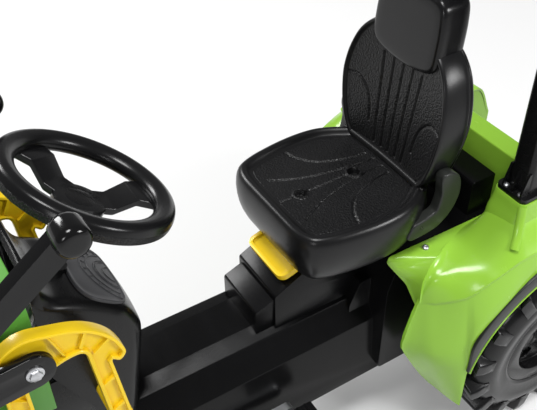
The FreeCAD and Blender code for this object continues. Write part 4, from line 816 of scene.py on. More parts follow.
@dataclass
class Seat:
    """The seat pan, its backrest and headrest, the ears at its sides and the latch below it."""

    pad_points: int = 380
    pad_rings: int = 84
    groove_half: float = 2.5
    groove_depth: float = 2.2
    side: Plan = ((384, 0), (384, 32), (383.4, 60), (379, 81), (368, 97), (345, 107), (315, 113), (285, 116.5),
                  (255, 117), (230, 114), (210, 107), (193, 98), (176, 87), (162, 70), (153, 46), (150, 20), (150, 0))
    pad_rise: float = 398.0
    wells: Sequence[float] = (325.0, 237.0)
    well_radius: float = 8.0
    well_depth: float = 8.0
    well_edge: float = 1.8
    lip_reach: float = 5.0
    lip_height: float = 0.9
    lip_fade: float = 3.0
    spine_past_wells: tuple[float, float] = (20.0, 4.0)
    pan_profile: Plan = ((25, 398), (22, 398.1), (19.6, 399.2), (17.2, 402.0), (14.6, 404.6), (12, 405.5), (9, 405.0),
                         (6, 403.0), (3.4, 399.2), (1.6, 394), (0.6, 388), (0.0, 378), (0.8, 366), (2.8, 354),
                         (5.6, 344), (9, 335.5), (11.6, 331), (14.4, 328.6), (17.6, 328.1), (21, 330))
    fan: Plan = ((347, 47), (316, 31), (280, 20), (243, 13), (213, 9), (196, 10))
    loop: Plan = ((294, 88), (287, 68), (270, 47), (245, 35), (220, 28), (198, 26))
    seams: Sequence[Plan] = (((366, 0), (350, 0), (334, 0)), ((316, 0), (280, 0), (246, 0)))
    back_foot_x: float = 181.5
    back_foot_rise: float = 395.0
    back_lean: float = 5.5
    back_dish: float = 12.0
    dish_half: float = 100.0
    dish_depth: float = 30.0
    back_side: Plan = ((0, -1), (40, -1), (64, 1), (79, 8), (90, 26), (99, 57), (103.5, 92), (102.5, 116), (97, 142),
                       (86, 168), (68, 188), (44, 200), (22, 203), (0, 204))
    back_profile: Plan = ((9, 0.0), (7.2, 0.1), (5.8, 1.2), (4.4, 2.6), (3, 3.0), (1.6, 2.4), (0.5, 0.6), (-0.2, -2.4),
                          (-1, -8), (-1.4, -15), (-1.2, -22), (-0.6, -27), (0.2, -28.6), (1.2, -29.2), (1.3, -30.2),
                          (0.4, -30.9), (0.3, -33), (1.6, -35.2), (4.2, -36), (9, -36), (11, -34.5), (14, -34))
    back_spine: Plan = ((0, 55), (0, 130))
    back_lines: Sequence[float] = (-38.0, -19.0, 0.0, 19.0, 38.0)
    back_line_run: Plan = ((1.0, 153), (0.9, 85), (0.79, 15))
    back_loop: Plan = ((94, 100), (75, 101), (58, 88), (49, 66), (46, 42))
    bar_half: int = 88
    bar_step: int = 8
    bar_ahead: float = 1.5
    bar_above: float = 7.0
    bar_bow: float = 0.4
    bar_bow_half: float = 108.0
    bar_way: Place = (0.75, 0, 0.66)
    bar_width: float = 11.0
    bar_height: float = 5.0
    head_reach: float = 10.0
    head_side: Plan = ((0, 156.5), (20, 157.5), (40, 160.5), (53, 165), (60, 172), (63, 181), (63.5, 200), (62.5, 225),
                       (59, 246), (52, 256), (38, 261), (0, 262))
    head_profile: Plan = ((16, 10), (8, 9.8), (4, 9.2), (1.8, 7.6), (0.5, 5), (0, 2), (0, -5), (0, -20), (0.2, -28),
                          (1, -31.5), (3, -34.4), (6, -36), (12, -36.6))
    head_spine: Plan = ((-12, 208), (12, 208))
    ear: Plan = ((179, 441), (163, 441), (150, 432), (144, 417), (143, 397), (149, 378), (160, 363), (176, 351),
                 (197, 347), (222, 346), (229, 354), (220, 372), (200, 376), (181, 381), (178, 394), (176, 408),
                 (180, 430))
    ear_sides: tuple[float, float] = (97.0, 113.0)
    ear_corner: float = 6.0
    ear_round: float = 2.4
    ear_hole: tuple[float, float] = (205.0, 363.0)
    ear_plug: Plan = ((0, -0.6), (1.6, -0.6), (1.9, 0.25), (2.9, 0.25), (3.2, -1), (0, -2))

    def pan_level(self, grooves: Grooves) -> Callable[[Vector], float]:
        """The height of the pan's pad, with its grooves and screw wells."""
        lip_end, edge_end = self.well_radius + self.lip_reach, self.well_radius + self.well_edge / 2

        def level(point: Vector) -> float:
            """The rise at a point of the pad."""
            rise = self.pad_rise - grooves.at(point)
            for x in self.wells:
                gap = (point - flat(x, 0)).length
                if gap < lip_end:
                    lip = self.lip_height * eased((lip_end - gap) / self.lip_fade)
                    sunk = (self.well_depth + lip) * eased((edge_end - gap) / self.well_edge)
                    rise = self.pad_rise + lip - sunk
            return rise

        return level

    def pan(self) -> None:
        """Builds the pan with its grained pad."""
        outline = whole_outline(self.side, (1, -1), self.pad_points)
        lines = [[(x, y * hand) for x, y in line] for line in (self.fan, self.loop) for hand in (1, -1)]
        grooves = Grooves([*lines, *self.seams], self.groove_half, self.groove_depth)
        (front, rear), (behind, ahead) = self.wells, self.spine_past_wells
        spine = (flat(rear - behind, 0), flat(front + ahead, 0))
        form = Form().pad(outline, self.pan_profile, self.pad_rings, spine, self.pan_level(grooves), spot)
        form.close().piece("seat_pan_moulding", "seat", SEAT, ["seat_pan"], angle=50)

    def upright(self, y: float, height: float, proud: float) -> Vector:
        """A point on the leaning plane of the backrest."""
        lean = math.tan(math.radians(self.back_lean))
        return spot(self.back_foot_x - height * lean + proud, y, self.back_foot_rise + height)

    def dished(self, y: float, height: float, proud: float) -> Vector:
        """A point of the backrest, whose sides come forward round the rider."""
        share = eased((proud + self.dish_depth) / self.dish_depth)
        return self.upright(y, height, proud + self.back_dish * (y / self.dish_half) ** 2 * share)

    def back(self) -> None:
        """Builds the backrest with its grained and grooved panel."""
        outline = whole_outline(self.back_side, (-1, 1), self.pad_points)
        lines = [[(y * share, height) for share, height in self.back_line_run] for y in self.back_lines]
        lines += [[(y * hand, height) for y, height in self.back_loop] for hand in (1, -1)]
        grooves = Grooves(lines, self.groove_half, self.groove_depth)
        form = Form().pad(outline, self.back_profile, self.pad_rings, flats(self.back_spine),
                          lambda point: -grooves.at(point), self.dished)
        bar = []
        for y in range(-self.bar_half, self.bar_half + 1, self.bar_step):
            bow = self.back_dish * (y / self.bar_bow_half) ** 2 * self.bar_bow
            bar.append(spot(self.back_foot_x + self.bar_ahead + bow, y, self.back_foot_rise + self.bar_above))
        form.ridge(bar, Vector(self.bar_way), self.bar_width, self.bar_height)
        form.close().piece("backrest_moulding", "seat", SEAT, ["backrest"], angle=50)

    def head(self) -> None:
        """Builds the smooth headrest."""
        outline = whole_outline(self.head_side, (-1, 1), 220, 10)
        form = Form().pad(outline, self.head_profile, 24, flats(self.head_spine), lambda point: self.head_reach,
                          self.upright)
        form.close().piece("headrest_moulding", "seat", SEAT_SMOOTH, ["headrest"], angle=60)

    def build(self) -> None:
        """Builds and dresses the seat."""
        self.pan()
        self.back()
        self.head()
        outline = even(soft_path(flats(self.ear), self.ear_corner, closed=True, bends=4, runs=2), 120)
        form = Form().slab(outline, *self.ear_sides, self.ear_round)
        form.mirrored().close().piece("seat_ear_mouldings", "seat", GREY_BLACK, ["seat_ears"], angle=50)
        x, rise = self.ear_hole
        plug = [(reach, self.ear_sides[1] + proud) for reach, proud in self.ear_plug]
        form = Form().turned(plug, spot(x, 0, rise), 24)
        form.mirrored().close().piece("seat_ear_bolts", "seat", BLACK)
        softened("seat_latch", YELLOW, 1.6, 3)
        screws("seat_screws", UPWARD)


@dataclass
class Steering:
    """The steering wheel with its dished hub, and the column below it."""

    x: float = 608.0
    rise: float = 542.0
    tilt: float = 31.0
    turns: Sequence[float] = (60.0, 180.0, 300.0)
    rim: Plan = ((103.2, -10), (104.2, 0), (101.6, 8.4), (94, 12.4), (85, 10.4), (79, 4.6), (78.4, -3), (84, -10.4),
                 (93, -12))
    rim_corner: float = 3.2
    rim_steps: int = 144
    rim_grained: int = 8
    spoke: Sequence[Place] = ((88, -2.6, 26), (79, -2.2, 24), (61, -2.2, 20.4), (59.4, -2.6, 20.2), (58, -3.8, 20),
                              (38.4, -17.2, 18.4), (37, -18, 18.4), (35, -18.3, 18.4), (10, -18.3, 18))
    spoke_thick: float = 9.5
    spoke_draft: float = 1.5
    spoke_corner: float = 1.1
    hub: Plan = ((0, -18.2), (27, -18.2), (29.6, -19.0), (31, -20.8), (30.4, -28), (0, -28))
    disc: Plan = ((0, -17.8), (16.4, -17.8), (16.9, -18.0), (17, -19.2), (0, -19.2))
    column_top: float = -22.2
    lathe_steps: int = 64

    @property
    def axis(self) -> Vector:
        """The way up along the column."""
        return (self.at(0, 0, 1) - self.at(0, 0, 0)) / MM

    def at(self, reach: float, turn: float, height: float) -> Vector:
        """A point of the wheel from its reach, its turn in degrees and its height over the rim's middle."""
        tilt, angle = math.radians(self.tilt), math.radians(turn)
        fore, up = Vector((math.cos(tilt), 0, math.sin(tilt))), Vector((-math.sin(tilt), 0, math.cos(tilt)))
        along = fore * math.cos(angle) + ACROSS * math.sin(angle)
        return spot(self.x, 0, self.rise) + (along * reach + up * height) * MM

    def rim_and_spokes(self) -> Form:
        """The rim with its grained outer band, and the folded spokes."""
        section = soft_path(flats(self.rim), self.rim_corner, closed=True, bends=3, runs=3)
        steps = [360 * step / self.rim_steps for step in range(self.rim_steps)]
        rings = [[self.at(point.x, turn, point.y) for turn in steps] for point in [*section, section[0]]]
        form = Form().rows(rings, grained=self.rim_grained)
        for turn in self.turns:
            rows = []
            for reach, height, half in self.spoke:
                foot = half - self.spoke_draft
                corners = flats(((-half, 0), (half, 0), (foot, -self.spoke_thick), (-foot, -self.spoke_thick)))
                ring = soft_path(corners, self.spoke_corner, closed=True, bends=3, runs=2)
                rows.append([self.at(reach, turn, height + point.y) + self.beside(turn) * point.x * MM
                             for point in ring])
            form.loft(rows)
        return form

    def beside(self, turn: float) -> Vector:
        """The way across a spoke."""
        return (self.at(1, turn + 90, 0) - self.at(0, 0, 0)) / MM

    def build(self) -> None:
        """Builds and dresses the wheel, its hub disc and the column."""
        form = self.rim_and_spokes()
        centre, up = self.at(0, 0, 0), self.axis
        form.lathe([self.at(reach, 45, height) for reach, height in self.hub], centre, up, self.lathe_steps)
        form.close().piece("steering_wheel_moulding", "steering", WHEEL_GRIP, ["steering_wheel"], angle=24)
        disc = [self.at(reach, 0, height) for reach, height in self.disc]
        form = Form().lathe(disc, centre, up, self.lathe_steps)
        form.close().piece("hub_disc", "steering", BLACK, ["steering_cap"])
        column = Form.copy_of("steering_column").cut_off(self.at(0, 0, self.column_top), up)
        column.piece("steering_column_rod", "steering", STEEL, ["steering_column"])


@dataclass
class Console:
    """The dashboard console with its D shaped dial panel."""

    low: tuple[float, float] = (597.0, 387.0)
    high: tuple[float, float] = (682.0, 455.0)
    half: float = 68.3
    front: Plan = ((640.0, 190.0), (709.3, 345.0))
    lower_face: Plan = ((614.6, 190), (604, 252), (593.5, 313), (588.6, 346), (589.6, 366))
    upper_face: Plan = ((686.5, 464), (693.5, 481), (699.5, 497), (701.5, 500.3), (705, 500.3), (709.3, 500.3))
    slope_shares: Sequence[float] = (0.04, 0.22, 0.4, 0.58, 0.76, 0.94)
    edge_steps: int = 8
    face_steps: int = 10
    flank_steps: int = 5
    wall: float = 4.6
    rim_from: float = 698.0
    rim_round: float = 3.0
    shoulder: float = 17.0
    crown: float = 5.0
    bulge: float = 5.0
    bush_clear: float = 11.0
    panel: Plan = ((3, 0), (3, 24), (5, 43), (15, 53), (39, 57), (59, 55), (71, 45), (76.6, 27), (77, 0))
    panel_profile: Plan = ((3.2, 2.4), (2.2, 3.0), (1.2, 3.1), (0.3, 2.6), (0, 1.6), (0, -1))
    panel_top: float = 2.4
    panel_spine: Plan = ((30, 0), (50, 0))
    dial: tuple[float, float] = (6.0, 0.0)
    line_proud: float = 2.6
    line_height: float = 0.8
    rings: Sequence[float] = (14.0, 24.0, 27.0, 37.0, 46.0)
    ring_turn: float = 84.0
    ring_width: float = 1.3
    ticks: int = 9
    tick_turn: float = 80.0
    tick_width: float = 1.4
    tick_reaches: Sequence[float] = (39.0, 41.5, 44.0)

    def on_slope(self, along: float, y: float, proud: float) -> Vector:
        """A point on the sloped face."""
        place = self.slope_line(along, proud)
        return spot(place.x + self.fall(y), y, place.y)

    def slope_line(self, along: float, proud: float = 0.0) -> Vector:
        """A point of the sloped face's bulging middle line, in its drawing plane."""
        start, end = flat(*self.low), flat(*self.high)
        run, share = (end - start).normalized(), along / (end - start).length
        return start + run * along + flat(-run.y, run.x) * (proud + 4 * self.bulge * share * (1 - share))

    def fall(self, y: float) -> float:
        """How far the crowned and rounded shell falls back from its middle line."""
        over = max(0.0, abs(y) - self.half + self.shoulder)
        round_off = self.shoulder - math.sqrt(max(0.0, self.shoulder**2 - over**2))
        return self.crown * (y / self.half) ** 2 + round_off

    def shell(self) -> Form:
        """The console's outer shell, open at its front and foot."""
        length = (flat(*self.high) - flat(*self.low)).length
        slope = [self.slope_line(length * share) for share in self.slope_shares]
        line = flowing([*flats(self.lower_face), *slope, *flats(self.upper_face)], 6)
        turns = [math.radians(90 * step / self.edge_steps) for step in range(self.edge_steps + 1)]
        edge = [self.half - self.shoulder * (1 - math.cos(turn)) for turn in turns]
        inside = [(self.half - self.shoulder) * step / self.face_steps for step in reversed(range(self.face_steps))]
        (foot_x, foot_rise), (front_x, front_rise) = self.front
        rows = []
        for point in line:
            end = foot_x + (front_x - foot_x) * min(1.0, (point.y - foot_rise) / (front_rise - foot_rise))
            start = min(end, point.x + self.fall(self.half))
            flank = [(end + (start - end) * step / self.flank_steps, self.half) for step in range(self.flank_steps)]
            half = flank + [(min(end, point.x + self.fall(y)), y) for y in (*edge, *inside)]
            row = half + [(x, -y) for x, y in reversed(half[:-1])]
            rows.append([spot(x, y, point.y) for x, y in row])
        form = Form().rows(rows, closed=False)
        wheel = Steering()
        hub, axis = wheel.at(0, 0, 0), wheel.axis.normalized()
        near = [face for face in form.mesh.faces
                if (face.calc_center_median() - hub).cross(axis).length < self.bush_clear * MM]
        bmesh.ops.delete(form.mesh, geom=near, context="FACES")
        form.thicken(self.wall, Vector((-1, 0, 0.4)))
        rim_x = spot(front_x, 0, 0).x
        for vertex in form.mesh.verts:
            vertex.co.x = min(vertex.co.x, rim_x)
        return form

    def arc(self, radius: float, start: float, end: float, steps: int = 24) -> list[Vector]:
        """Points of an arc about the dial's middle."""
        turns = [math.radians(start + (end - start) * step / steps) for step in range(steps + 1)]
        along, y = self.dial
        return [self.on_slope(along + radius * math.cos(turn), y + radius * math.sin(turn), self.line_proud)
                for turn in turns]

    def build(self) -> None:
        """Builds and dresses the console."""
        rim = Form.copy_of("dash_console").soften(self.rim_round, 3)
        rim.cut_off(spot(self.rim_from, 0, 0), Vector((-1, 0, 0)))
        self.shell().join(rim).piece("dash_console_moulding", body_of("dash_console"), BLACK, ["dash_console"])
        outline = whole_outline(self.panel, (1, -1), 160)
        form = Form().pad(outline, self.panel_profile, 8, flats(self.panel_spine), lambda point: self.panel_top,
                          self.on_slope)
        out = (self.on_slope(0, 0, 1) - self.on_slope(0, 0, 0)) / MM
        for radius in self.rings:
            form.ridge(self.arc(radius, -self.ring_turn, self.ring_turn), out, self.ring_width, self.line_height)
        for number in range(self.ticks):
            turn = -self.tick_turn + 2 * self.tick_turn * number / (self.ticks - 1)
            tick = [self.arc(reach, turn, turn, 1)[0] for reach in self.tick_reaches]
            form.ridge(tick, out, self.tick_width, self.line_height)
        form.close().piece("dial_panel", "chassis", GREY, ["dial_plate"])
        dress("column_bush", BLACK)


@dataclass
class Fenders:
    """The two fenders with their decks, pedestals and trim strips, and the panel between them."""

    wall_y: float = 145.0
    deck_rise: float = 322.0
    axle_rise: float = 112.0
    lip_radius: float = 176.0
    wall_radius: float = 140.0
    foot_rise: float = 62.0
    tail_rise: float = 108.0
    tail_bow: float = 5.0
    wall_end: float = 229.0
    nose: Plan = ((266, 0), (221, 7), (188, 9.5), (178, 8), (162, 1.5), (128, -15.5), (95, -33), (62, -53))
    nose_from: float = 172.0
    swell: float = 26.0
    swell_reach: float = 58.0
    wall: float = 4.0
    stations: Sequence[float] = (-185, -149.4, -89.2, -14.5, 60.2, 107, 149.4, 180.6, 209.6, 225.2, 238.6)
    inner: Plan = ((0, -62), (-3, 0), (-14, 0), (-30, 0), (-37, 0), (-37, 0), (-25.5, 0), (-14.5, 0), (-3, -10),
                   (4.5, -56), (6, -144))
    middle: Plan = ((33, -63), (33, 0), (33, 26), (33, 27), (33, 27), (33, 24), (33, 1), (25, -10), (13, -23),
                    (5.4, -61), (6.2, -145.5))
    crease: Plan = ((55, -82), (60, -20), (64, 5), (65, 8), (65, 7), (63, 3), (59, -11), (48, -36), (24, -53),
                    (6.6, -68), (6.5, -147))
    outer: Plan = ((60, -110), (68, -60), (74, -38), (74, -36), (74, -38), (74, -38), (73, -50), (66, -75), (44, -95),
                   (22, -110), (10, -150))
    foot: Sequence[float] = (62, 70, 74, 74, 74, 74, 74, 71, 47, 26, 12)
    section_cuts: Sequence[float] = (0, 14, 20, 2, 2, 16, 0)
    lip_below_crease: float = 4.0
    shoulder_share: float = 0.3
    shoulder_lift: float = 0.4
    step_back: float = 0.4
    step_least: float = 0.5
    step_depth: float = 4.5
    step_from: float = 95.0
    step_grow: float = 60.0
    step_end: float = 227.0
    step_fade: float = 20.0
    swell_power: float = 2.2
    swell_y: float = 108.0
    swell_fade: float = 22.0
    wall_below: float = 3.0
    wall_least: float = 4.0
    tail_depth: float = 60.0
    pedestal: tuple[float, float, float, float] = (36.0, 92.0, 122.0, 178.0)
    pedestal_rows: Plan = ((395, -1.2), (393.8, 0), (388, 1.5), (380, 4), (372, 8), (364, 13), (350, 18), (330, 20))
    pedestal_round: float = 11.0
    flare_ahead: float = 0.6
    flare_out: float = 0.36
    flare_round: float = 0.3
    flare_inward: float = 0.25
    flare_held: float = 12.0
    deck_inner: Sequence[Place] = ((-20, 104, 322), (109, 104, 322), (200, 102, 322), (250, 100, 320), (240, 112, 303),
                                   (228, 125, 284), (222, 146, 250))
    deck_outer: Sequence[Place] = ((-20, 109, 322), (109, 109, 322), (154, 122, 322), (185, 133.5, 322),
                                   (202, 139, 321), (223, 147.5, 300), (226, 151, 262))
    deck_inner_cuts: Sequence[float] = (0, 2, 2, 9, 6, 6, 0)
    deck_outer_cuts: Sequence[float] = (0, 2, 6, 8, 8, 6, 0)
    deck_band: Place = (1.2, -1.6, -6)
    deck_lip: Place = (0.3, -0.5, -0.9)
    deck_shares: Sequence[float] = (0.06, 0.5)
    rib: Sequence[Place] = ((89.5, 176, 393), (94, 181, 374), (102, 188, 356), (112, 196, 343))
    rib_way: Place = (0.6, 0.6, 0.5)
    rib_width: float = 12.0
    rib_height: float = 2.8
    bead_y: float = 219.0
    bead_from: float = 11.0
    bead_sweep: float = 142.0
    bead_steps: int = 60
    bead_size: float = 3.4
    trim: tuple[float, float] = (178.5, 200.0)
    trim_sides: tuple[float, float, float] = (216.0, 221.6, 221.0)
    trim_turns: tuple[float, float] = (12.0, 150.0)
    trim_steps: int = 56
    trim_tip: float = 0.12
    trim_taper: float = 7.0
    trim_corner: float = 1.2

    def arch(self, x: float, radius: float) -> float:
        """The rise of a round opening about the axle, or of the fender's foot beside it."""
        foot = self.foot_rise if x > 0 else self.tail_rise
        return max(foot, self.axle_rise + math.sqrt(radius * radius - x * x)) if abs(x) < radius else foot

    def lines(self) -> dict[str, list[Vector]]:
        """The lines that run along the fender, as points of x, y and rise."""
        low = self.foot_rise - self.deck_rise
        tables = {"inner": self.inner, "middle": self.middle, "crease": self.crease, "outer": self.outer,
                  "foot": [(inset, low) for inset in self.foot]}
        lines = {}
        for name, places in tables.items():
            points = [Vector((x, self.wall_y + inset, self.deck_rise + lift))
                      for x, (inset, lift) in zip(self.stations, places)]
            lines[name] = flowing(points, 9)
        return lines

    def section(self, inner: Vector, middle: Vector, crease: Vector, outer: Vector, foot: Vector) -> list[Vector]:
        """The path over the fender at one station, from its line along the deck to the lip."""
        x = inner.x

        def side(rise: float) -> Vector:
            """The point of the outer face at a rise."""
            above, below = (crease, outer) if rise > outer.z else (outer, foot)
            fall = above.z - below.z
            share = min(1.0, max(0.0, (above.z - rise) / fall)) if fall > 0.01 else 0.0
            return above.lerp(below, share)

        lip_rise = min(self.arch(x, self.lip_radius), crease.z - self.lip_below_crease)
        shoulder = inner.lerp(middle, self.shoulder_share) + UPWARD * (middle.z - inner.z) * self.shoulder_lift
        fading = eased((self.step_end - x) / self.step_fade)
        step = self.step_depth * eased((x - self.step_from) / self.step_grow) * fading
        under = crease + Vector((0, -step * self.step_back, -step - self.step_least))
        controls = [inner, shoulder, middle, crease, under, side((crease.z + lip_rise) / 2), side(lip_rise)]
        path = soft_path(controls, self.section_cuts, bends=6, runs=4)
        return [self.nosed(self.raised(point, point.z >= crease.z - 1)) for point in path]

    def raised(self, point: Vector, upper: bool) -> Vector:
        """A point of the dome, drawn up towards the foot of the pedestal."""
        rear, front, low, high = self.pedestal
        gap = math.hypot(max(rear - point.x, 0, point.x - front), max(low - point.y, 0, point.y - high))
        near = (1 - min(gap, self.swell_reach) / self.swell_reach) ** self.swell_power
        lift = self.swell * near * eased((point.y - self.swell_y) / self.swell_fade)
        return point + UPWARD * (lift if upper else 0.0)

    def nosed(self, point: Vector) -> Vector:
        """A point near the front, moved so that the front edge is round seen from the side."""
        held = min(self.nose[0][0], max(self.nose[-1][0], point.z))
        for (high, first), (low, second) in zip(self.nose, self.nose[1:]):
            if low <= held <= high:
                reach = second + (first - second) * (held - low) / (high - low)
                share = max(0.0, (point.x - self.nose_from) / (self.stations[-1] - self.nose_from))
                return Vector((point.x + reach * share, point.y, point.z))
        return point

    def shell(self) -> Form:
        """The domed shell over the tyre."""
        rows = [self.section(*station) for station in zip(*self.lines().values())]
        form = Form().rows([[spot(*point) for point in row] for row in rows], closed=False)
        return form.thicken(self.wall, Vector((0, 0.3, 1)))

    def inner_wall(self) -> Form:
        """The upright wall beside the tyre, with its round opening."""
        lines = self.lines()
        rows = []
        for inner, middle in zip(lines["inner"], lines["middle"]):
            if inner.x > self.wall_end:
                break
            top = (inner.z + middle.z) / 2 - self.wall_below
            low = min(self.arch(inner.x, self.wall_radius), top - self.wall_least)
            column = [Vector((inner.x, self.wall_y, low + (top - low) * step / 12)) for step in range(13)]
            rows.append([spot(*self.nosed(point)) for point in column])
        return Form().rows(rows, closed=False).thicken(self.wall, -ACROSS)

    def tail(self) -> Form:
        """The upright panel that closes the fender behind the tyre."""
        edge = self.section(*next(zip(*self.lines().values())))
        bow, shares = Vector((self.tail_bow * MM, 0, 0)), [step / 8 for step in range(9)]
        rows = []
        for point in edge:
            wall = Vector((point.x, self.wall_y, point.z))
            depth = max(0.0, min(1.0, (edge[0].z - point.z) / self.tail_depth))
            rows.append([spot(*wall.lerp(point, share)) - bow * 4 * share * (1 - share) * depth for share in shares])
        return Form().rows(rows, closed=False).thicken(self.wall, Vector((-1, 0, 0)))

    def deck(self) -> Form:
        """The deck beside the seat, which turns down at its front into the fender."""
        edges = []
        for places, cuts in ((self.deck_inner, self.deck_inner_cuts), (self.deck_outer, self.deck_outer_cuts)):
            edges.append(soft_path([Vector(place) for place in places], cuts, runs=5))
        rows = [[point + Vector(shift) for point in edges[0]] for shift in (self.deck_band, self.deck_lip)]
        rows += [[first.lerp(second, share) for first, second in zip(*edges)] for share in self.deck_shares]
        rows.append(edges[1])
        form = Form().rows([[spot(*point) for point in row] for row in rows], closed=False)
        return form.thicken(self.wall, UPWARD)

    def pedestal_sections(self) -> list[list[Vector]]:
        """The sections of the flared pedestal under the roll bar, from its top down."""
        rear, front, low, high = self.pedestal
        sections = []
        for rise, flare in self.pedestal_rows:
            ahead, out = flare * self.flare_ahead, flare * self.flare_out
            inward = min(flare, self.flare_held) * self.flare_inward
            corners = flats(((rear - ahead, low - inward), (front + ahead, low - inward), (front + ahead, high + out),
                             (rear - ahead, high + out)))
            ring = soft_path(corners, self.pedestal_round + flare * self.flare_round, closed=True)
            sections.append([spot(point.x, point.y, rise) for point in ring])
        return sections

    def fender(self, side: Side) -> None:
        """Builds one fender with its deck, pedestal, rib and lip bead."""
        form = self.shell().join(self.inner_wall()).join(self.tail()).join(self.deck())
        form.loft(self.pedestal_sections())
        rib = flowing([spot(*place) for place in self.rib], 6)
        form.ridge(rib, Vector(self.rib_way).normalized(), self.rib_width, self.rib_height)
        bead = []
        for step in range(self.bead_steps + 1):
            turn = math.radians(self.bead_from + self.bead_sweep * step / self.bead_steps)
            rise = self.axle_rise + self.lip_radius * math.sin(turn)
            bead.append(spot(self.lip_radius * math.cos(turn), self.bead_y, rise))
        form.ridge(bead, ACROSS, self.bead_size, self.bead_size)
        form.close()
        if side is Side.RIGHT:
            form.flip_over()
        name = "fender_" + side.word
        form.piece(name + "_moulding", "chassis", LIME, [name], angle=32)

    def trims(self) -> None:
        """Builds the dark strips along the lips of both fenders."""
        (low, high), (start, end) = self.trim, self.trim_turns
        back, lower_face, upper_face = self.trim_sides
        rows = []
        for step in range(self.trim_steps + 1):
            share = step / self.trim_steps
            turn = math.radians(start + (end - start) * share)
            grown = eased(min(share, 1 - share) * self.trim_taper)
            top = low + (high - low) * (self.trim_tip + (1 - self.trim_tip) * grown)
            corners = flats(((low, back), (low, lower_face), (top, upper_face), (top, back)))
            ring = soft_path(corners, self.trim_corner, closed=True, bends=3, runs=2)
            rows.append([spot(point.x * math.cos(turn), point.y, self.axle_rise + point.x * math.sin(turn))
                         for point in ring])
        form = Form().loft(rows)
        form.mirrored().close().piece("fender_trim_strips", "chassis", GREY_BLACK, ["fender_trims"])

    def build(self) -> None:
        """Builds and dresses the fenders and the rear panel."""
        for side in Side:
            self.fender(side)
        self.trims()
        softened("rear_panel", LIME, 2.0, 3)
        screws("deck_screws", UPWARD)


@dataclass
class RollBar:
    """The two posts on their flanges, and the beam across their tops."""

    post_front: float = 78.0
    flange_rise: float = 402.0
    middle_y: float = 150.0
    gussets: Sequence[float] = (-16.0, 0.0, 16.0)
    gusset_half: float = 1.6
    gusset: Plan = ((-3, -1), (9.5, -1), (9.5, 4), (1, 34), (-3, 34))
    rounding: float = 2.4

    def build(self) -> None:
        """Builds and dresses the roll bar."""
        form = Form.copy_of("roll_bar_posts").soften(self.rounding, 3)
        webs = Form()
        for place in self.gussets:
            y = self.middle_y + place - self.gusset_half
            corners = [spot(self.post_front + ahead, y, self.flange_rise + above) for ahead, above in self.gusset]
            webs.plate(corners, ACROSS * self.gusset_half * 2 * MM)
        webs.mirrored().close()
        form.join(webs).piece("roll_bar_posts_moulding", "chassis", BLACK, ["roll_bar_posts"])
        softened("roll_bar_beam", BLACK, self.rounding, 3)
        screws("roll_bar_screws", UPWARD)


@dataclass(frozen=True)
class Tyre:
    """A moulded tyre with slanting lugs, on its rim."""

    name: str
    x: float
    height: float
    radius: float
    width: float
    rim: float
    rim_width: float
    lug: float
    count: int
    lug_half: float
    lean: float = 28.0
    spread: Sequence[float] = (-1.5, 6, 14, 22, 29)
    spread_ends: Sequence[float] = (3.5, 0.8, 0.4)
    root: float = 4.0
    least_lug: float = 3.0
    crown_drop: float = 16.0
    lug_top_share: float = 0.74
    lug_cuts: Sequence[float] = (1, 1, 4.2, 4.2)
    fall_from: float = 0.72
    fall: float = 22.0
    base_until: float = 0.8

    def at(self, reach: float, across: float, turn: float, y: float) -> Vector:
        """A point of the tyre from its reach, its place across the tread and its turn."""
        centre = Vector((AXLE_X + self.x * MM, y, self.height * MM))
        return centre + Vector((math.sin(turn) * reach, across, math.cos(turn) * reach)) * MM

    def crown(self, across: float) -> float:
        """The reach of the carcass at a place across the tread."""
        share = min(1.0, abs(across) / (self.width / 2))
        return self.radius - self.lug - self.crown_drop * share**4

    def carcass(self, form: Form, y: float) -> None:
        """Turns the carcass with its beads and bulging side walls."""
        half, tread, seat = self.width / 2, self.radius - self.lug, self.rim_width / 2
        belly = (tread + self.rim) / 2
        wall = [(self.rim, seat), (self.rim + 3, seat + 1.6), (self.rim + 6, seat + 2.2), (self.rim + 8, seat + 1.4),
                (belly - 8, half - 0.6), (belly + 2, half), (tread - 24, half - 1.2), (tread - 14, half - 4),
                (tread - 6, half - 9), (tread - 2, half - 15), (tread, half - 22), (tread, 0)]
        profile = wall + [(reach, -across) for reach, across in reversed(wall[:-1])]
        closed = [self.at(reach, across, 0, y) for reach, across in [*profile, profile[0]]]
        form.lathe(closed, self.at(0, 0, 0, y), ACROSS, 112)

    def lugs(self, form: Form, y: float) -> None:
        """Adds the lugs that lean away from the tread's middle."""
        half = self.width / 2
        slant = math.tan(math.radians(self.lean))
        spread = (*self.spread, *(half - inset for inset in self.spread_ends))
        for number in range(self.count):
            for hand in (1, -1):
                start = math.tau * (number + hand / 4) / self.count
                rows = []
                for place, across in enumerate(spread):
                    end = place / (len(spread) - 1)
                    top = self.radius - self.fall * max(0.0, end - self.fall_from) / (1 - self.fall_from)
                    base = self.radius - self.lug - self.fall
                    if end < self.base_until:
                        base = min(self.crown(across) - self.root, top - self.least_lug)
                    foot, crest = self.lug_half, self.lug_half * self.lug_top_share
                    corners = flats(((-foot, base), (foot, base), (crest, top), (-crest, top)))
                    ring = soft_path(corners, self.lug_cuts, closed=True, bends=3, runs=2)
                    turn = start + across * slant / self.radius
                    rows.append([self.at(point.y, across * hand, turn + math.atan2(point.x, self.radius), y)
                                 for point in ring])
                form.loft(rows)

    def build(self, side: Side, body: str) -> None:
        """Builds the tyre at one side and dresses its rim."""
        node = f"{self.name}_tyre_{side.word}"
        low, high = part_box(node)
        y = (low.y + high.y) / 2
        form = Form()
        self.carcass(form, y)
        self.lugs(form, y)
        form.close().piece(node + "_moulding", body, TYRE, [node], angle=44)
        softened(f"{self.name}_rim_{side.word}", BLACK, 1.6, 2)


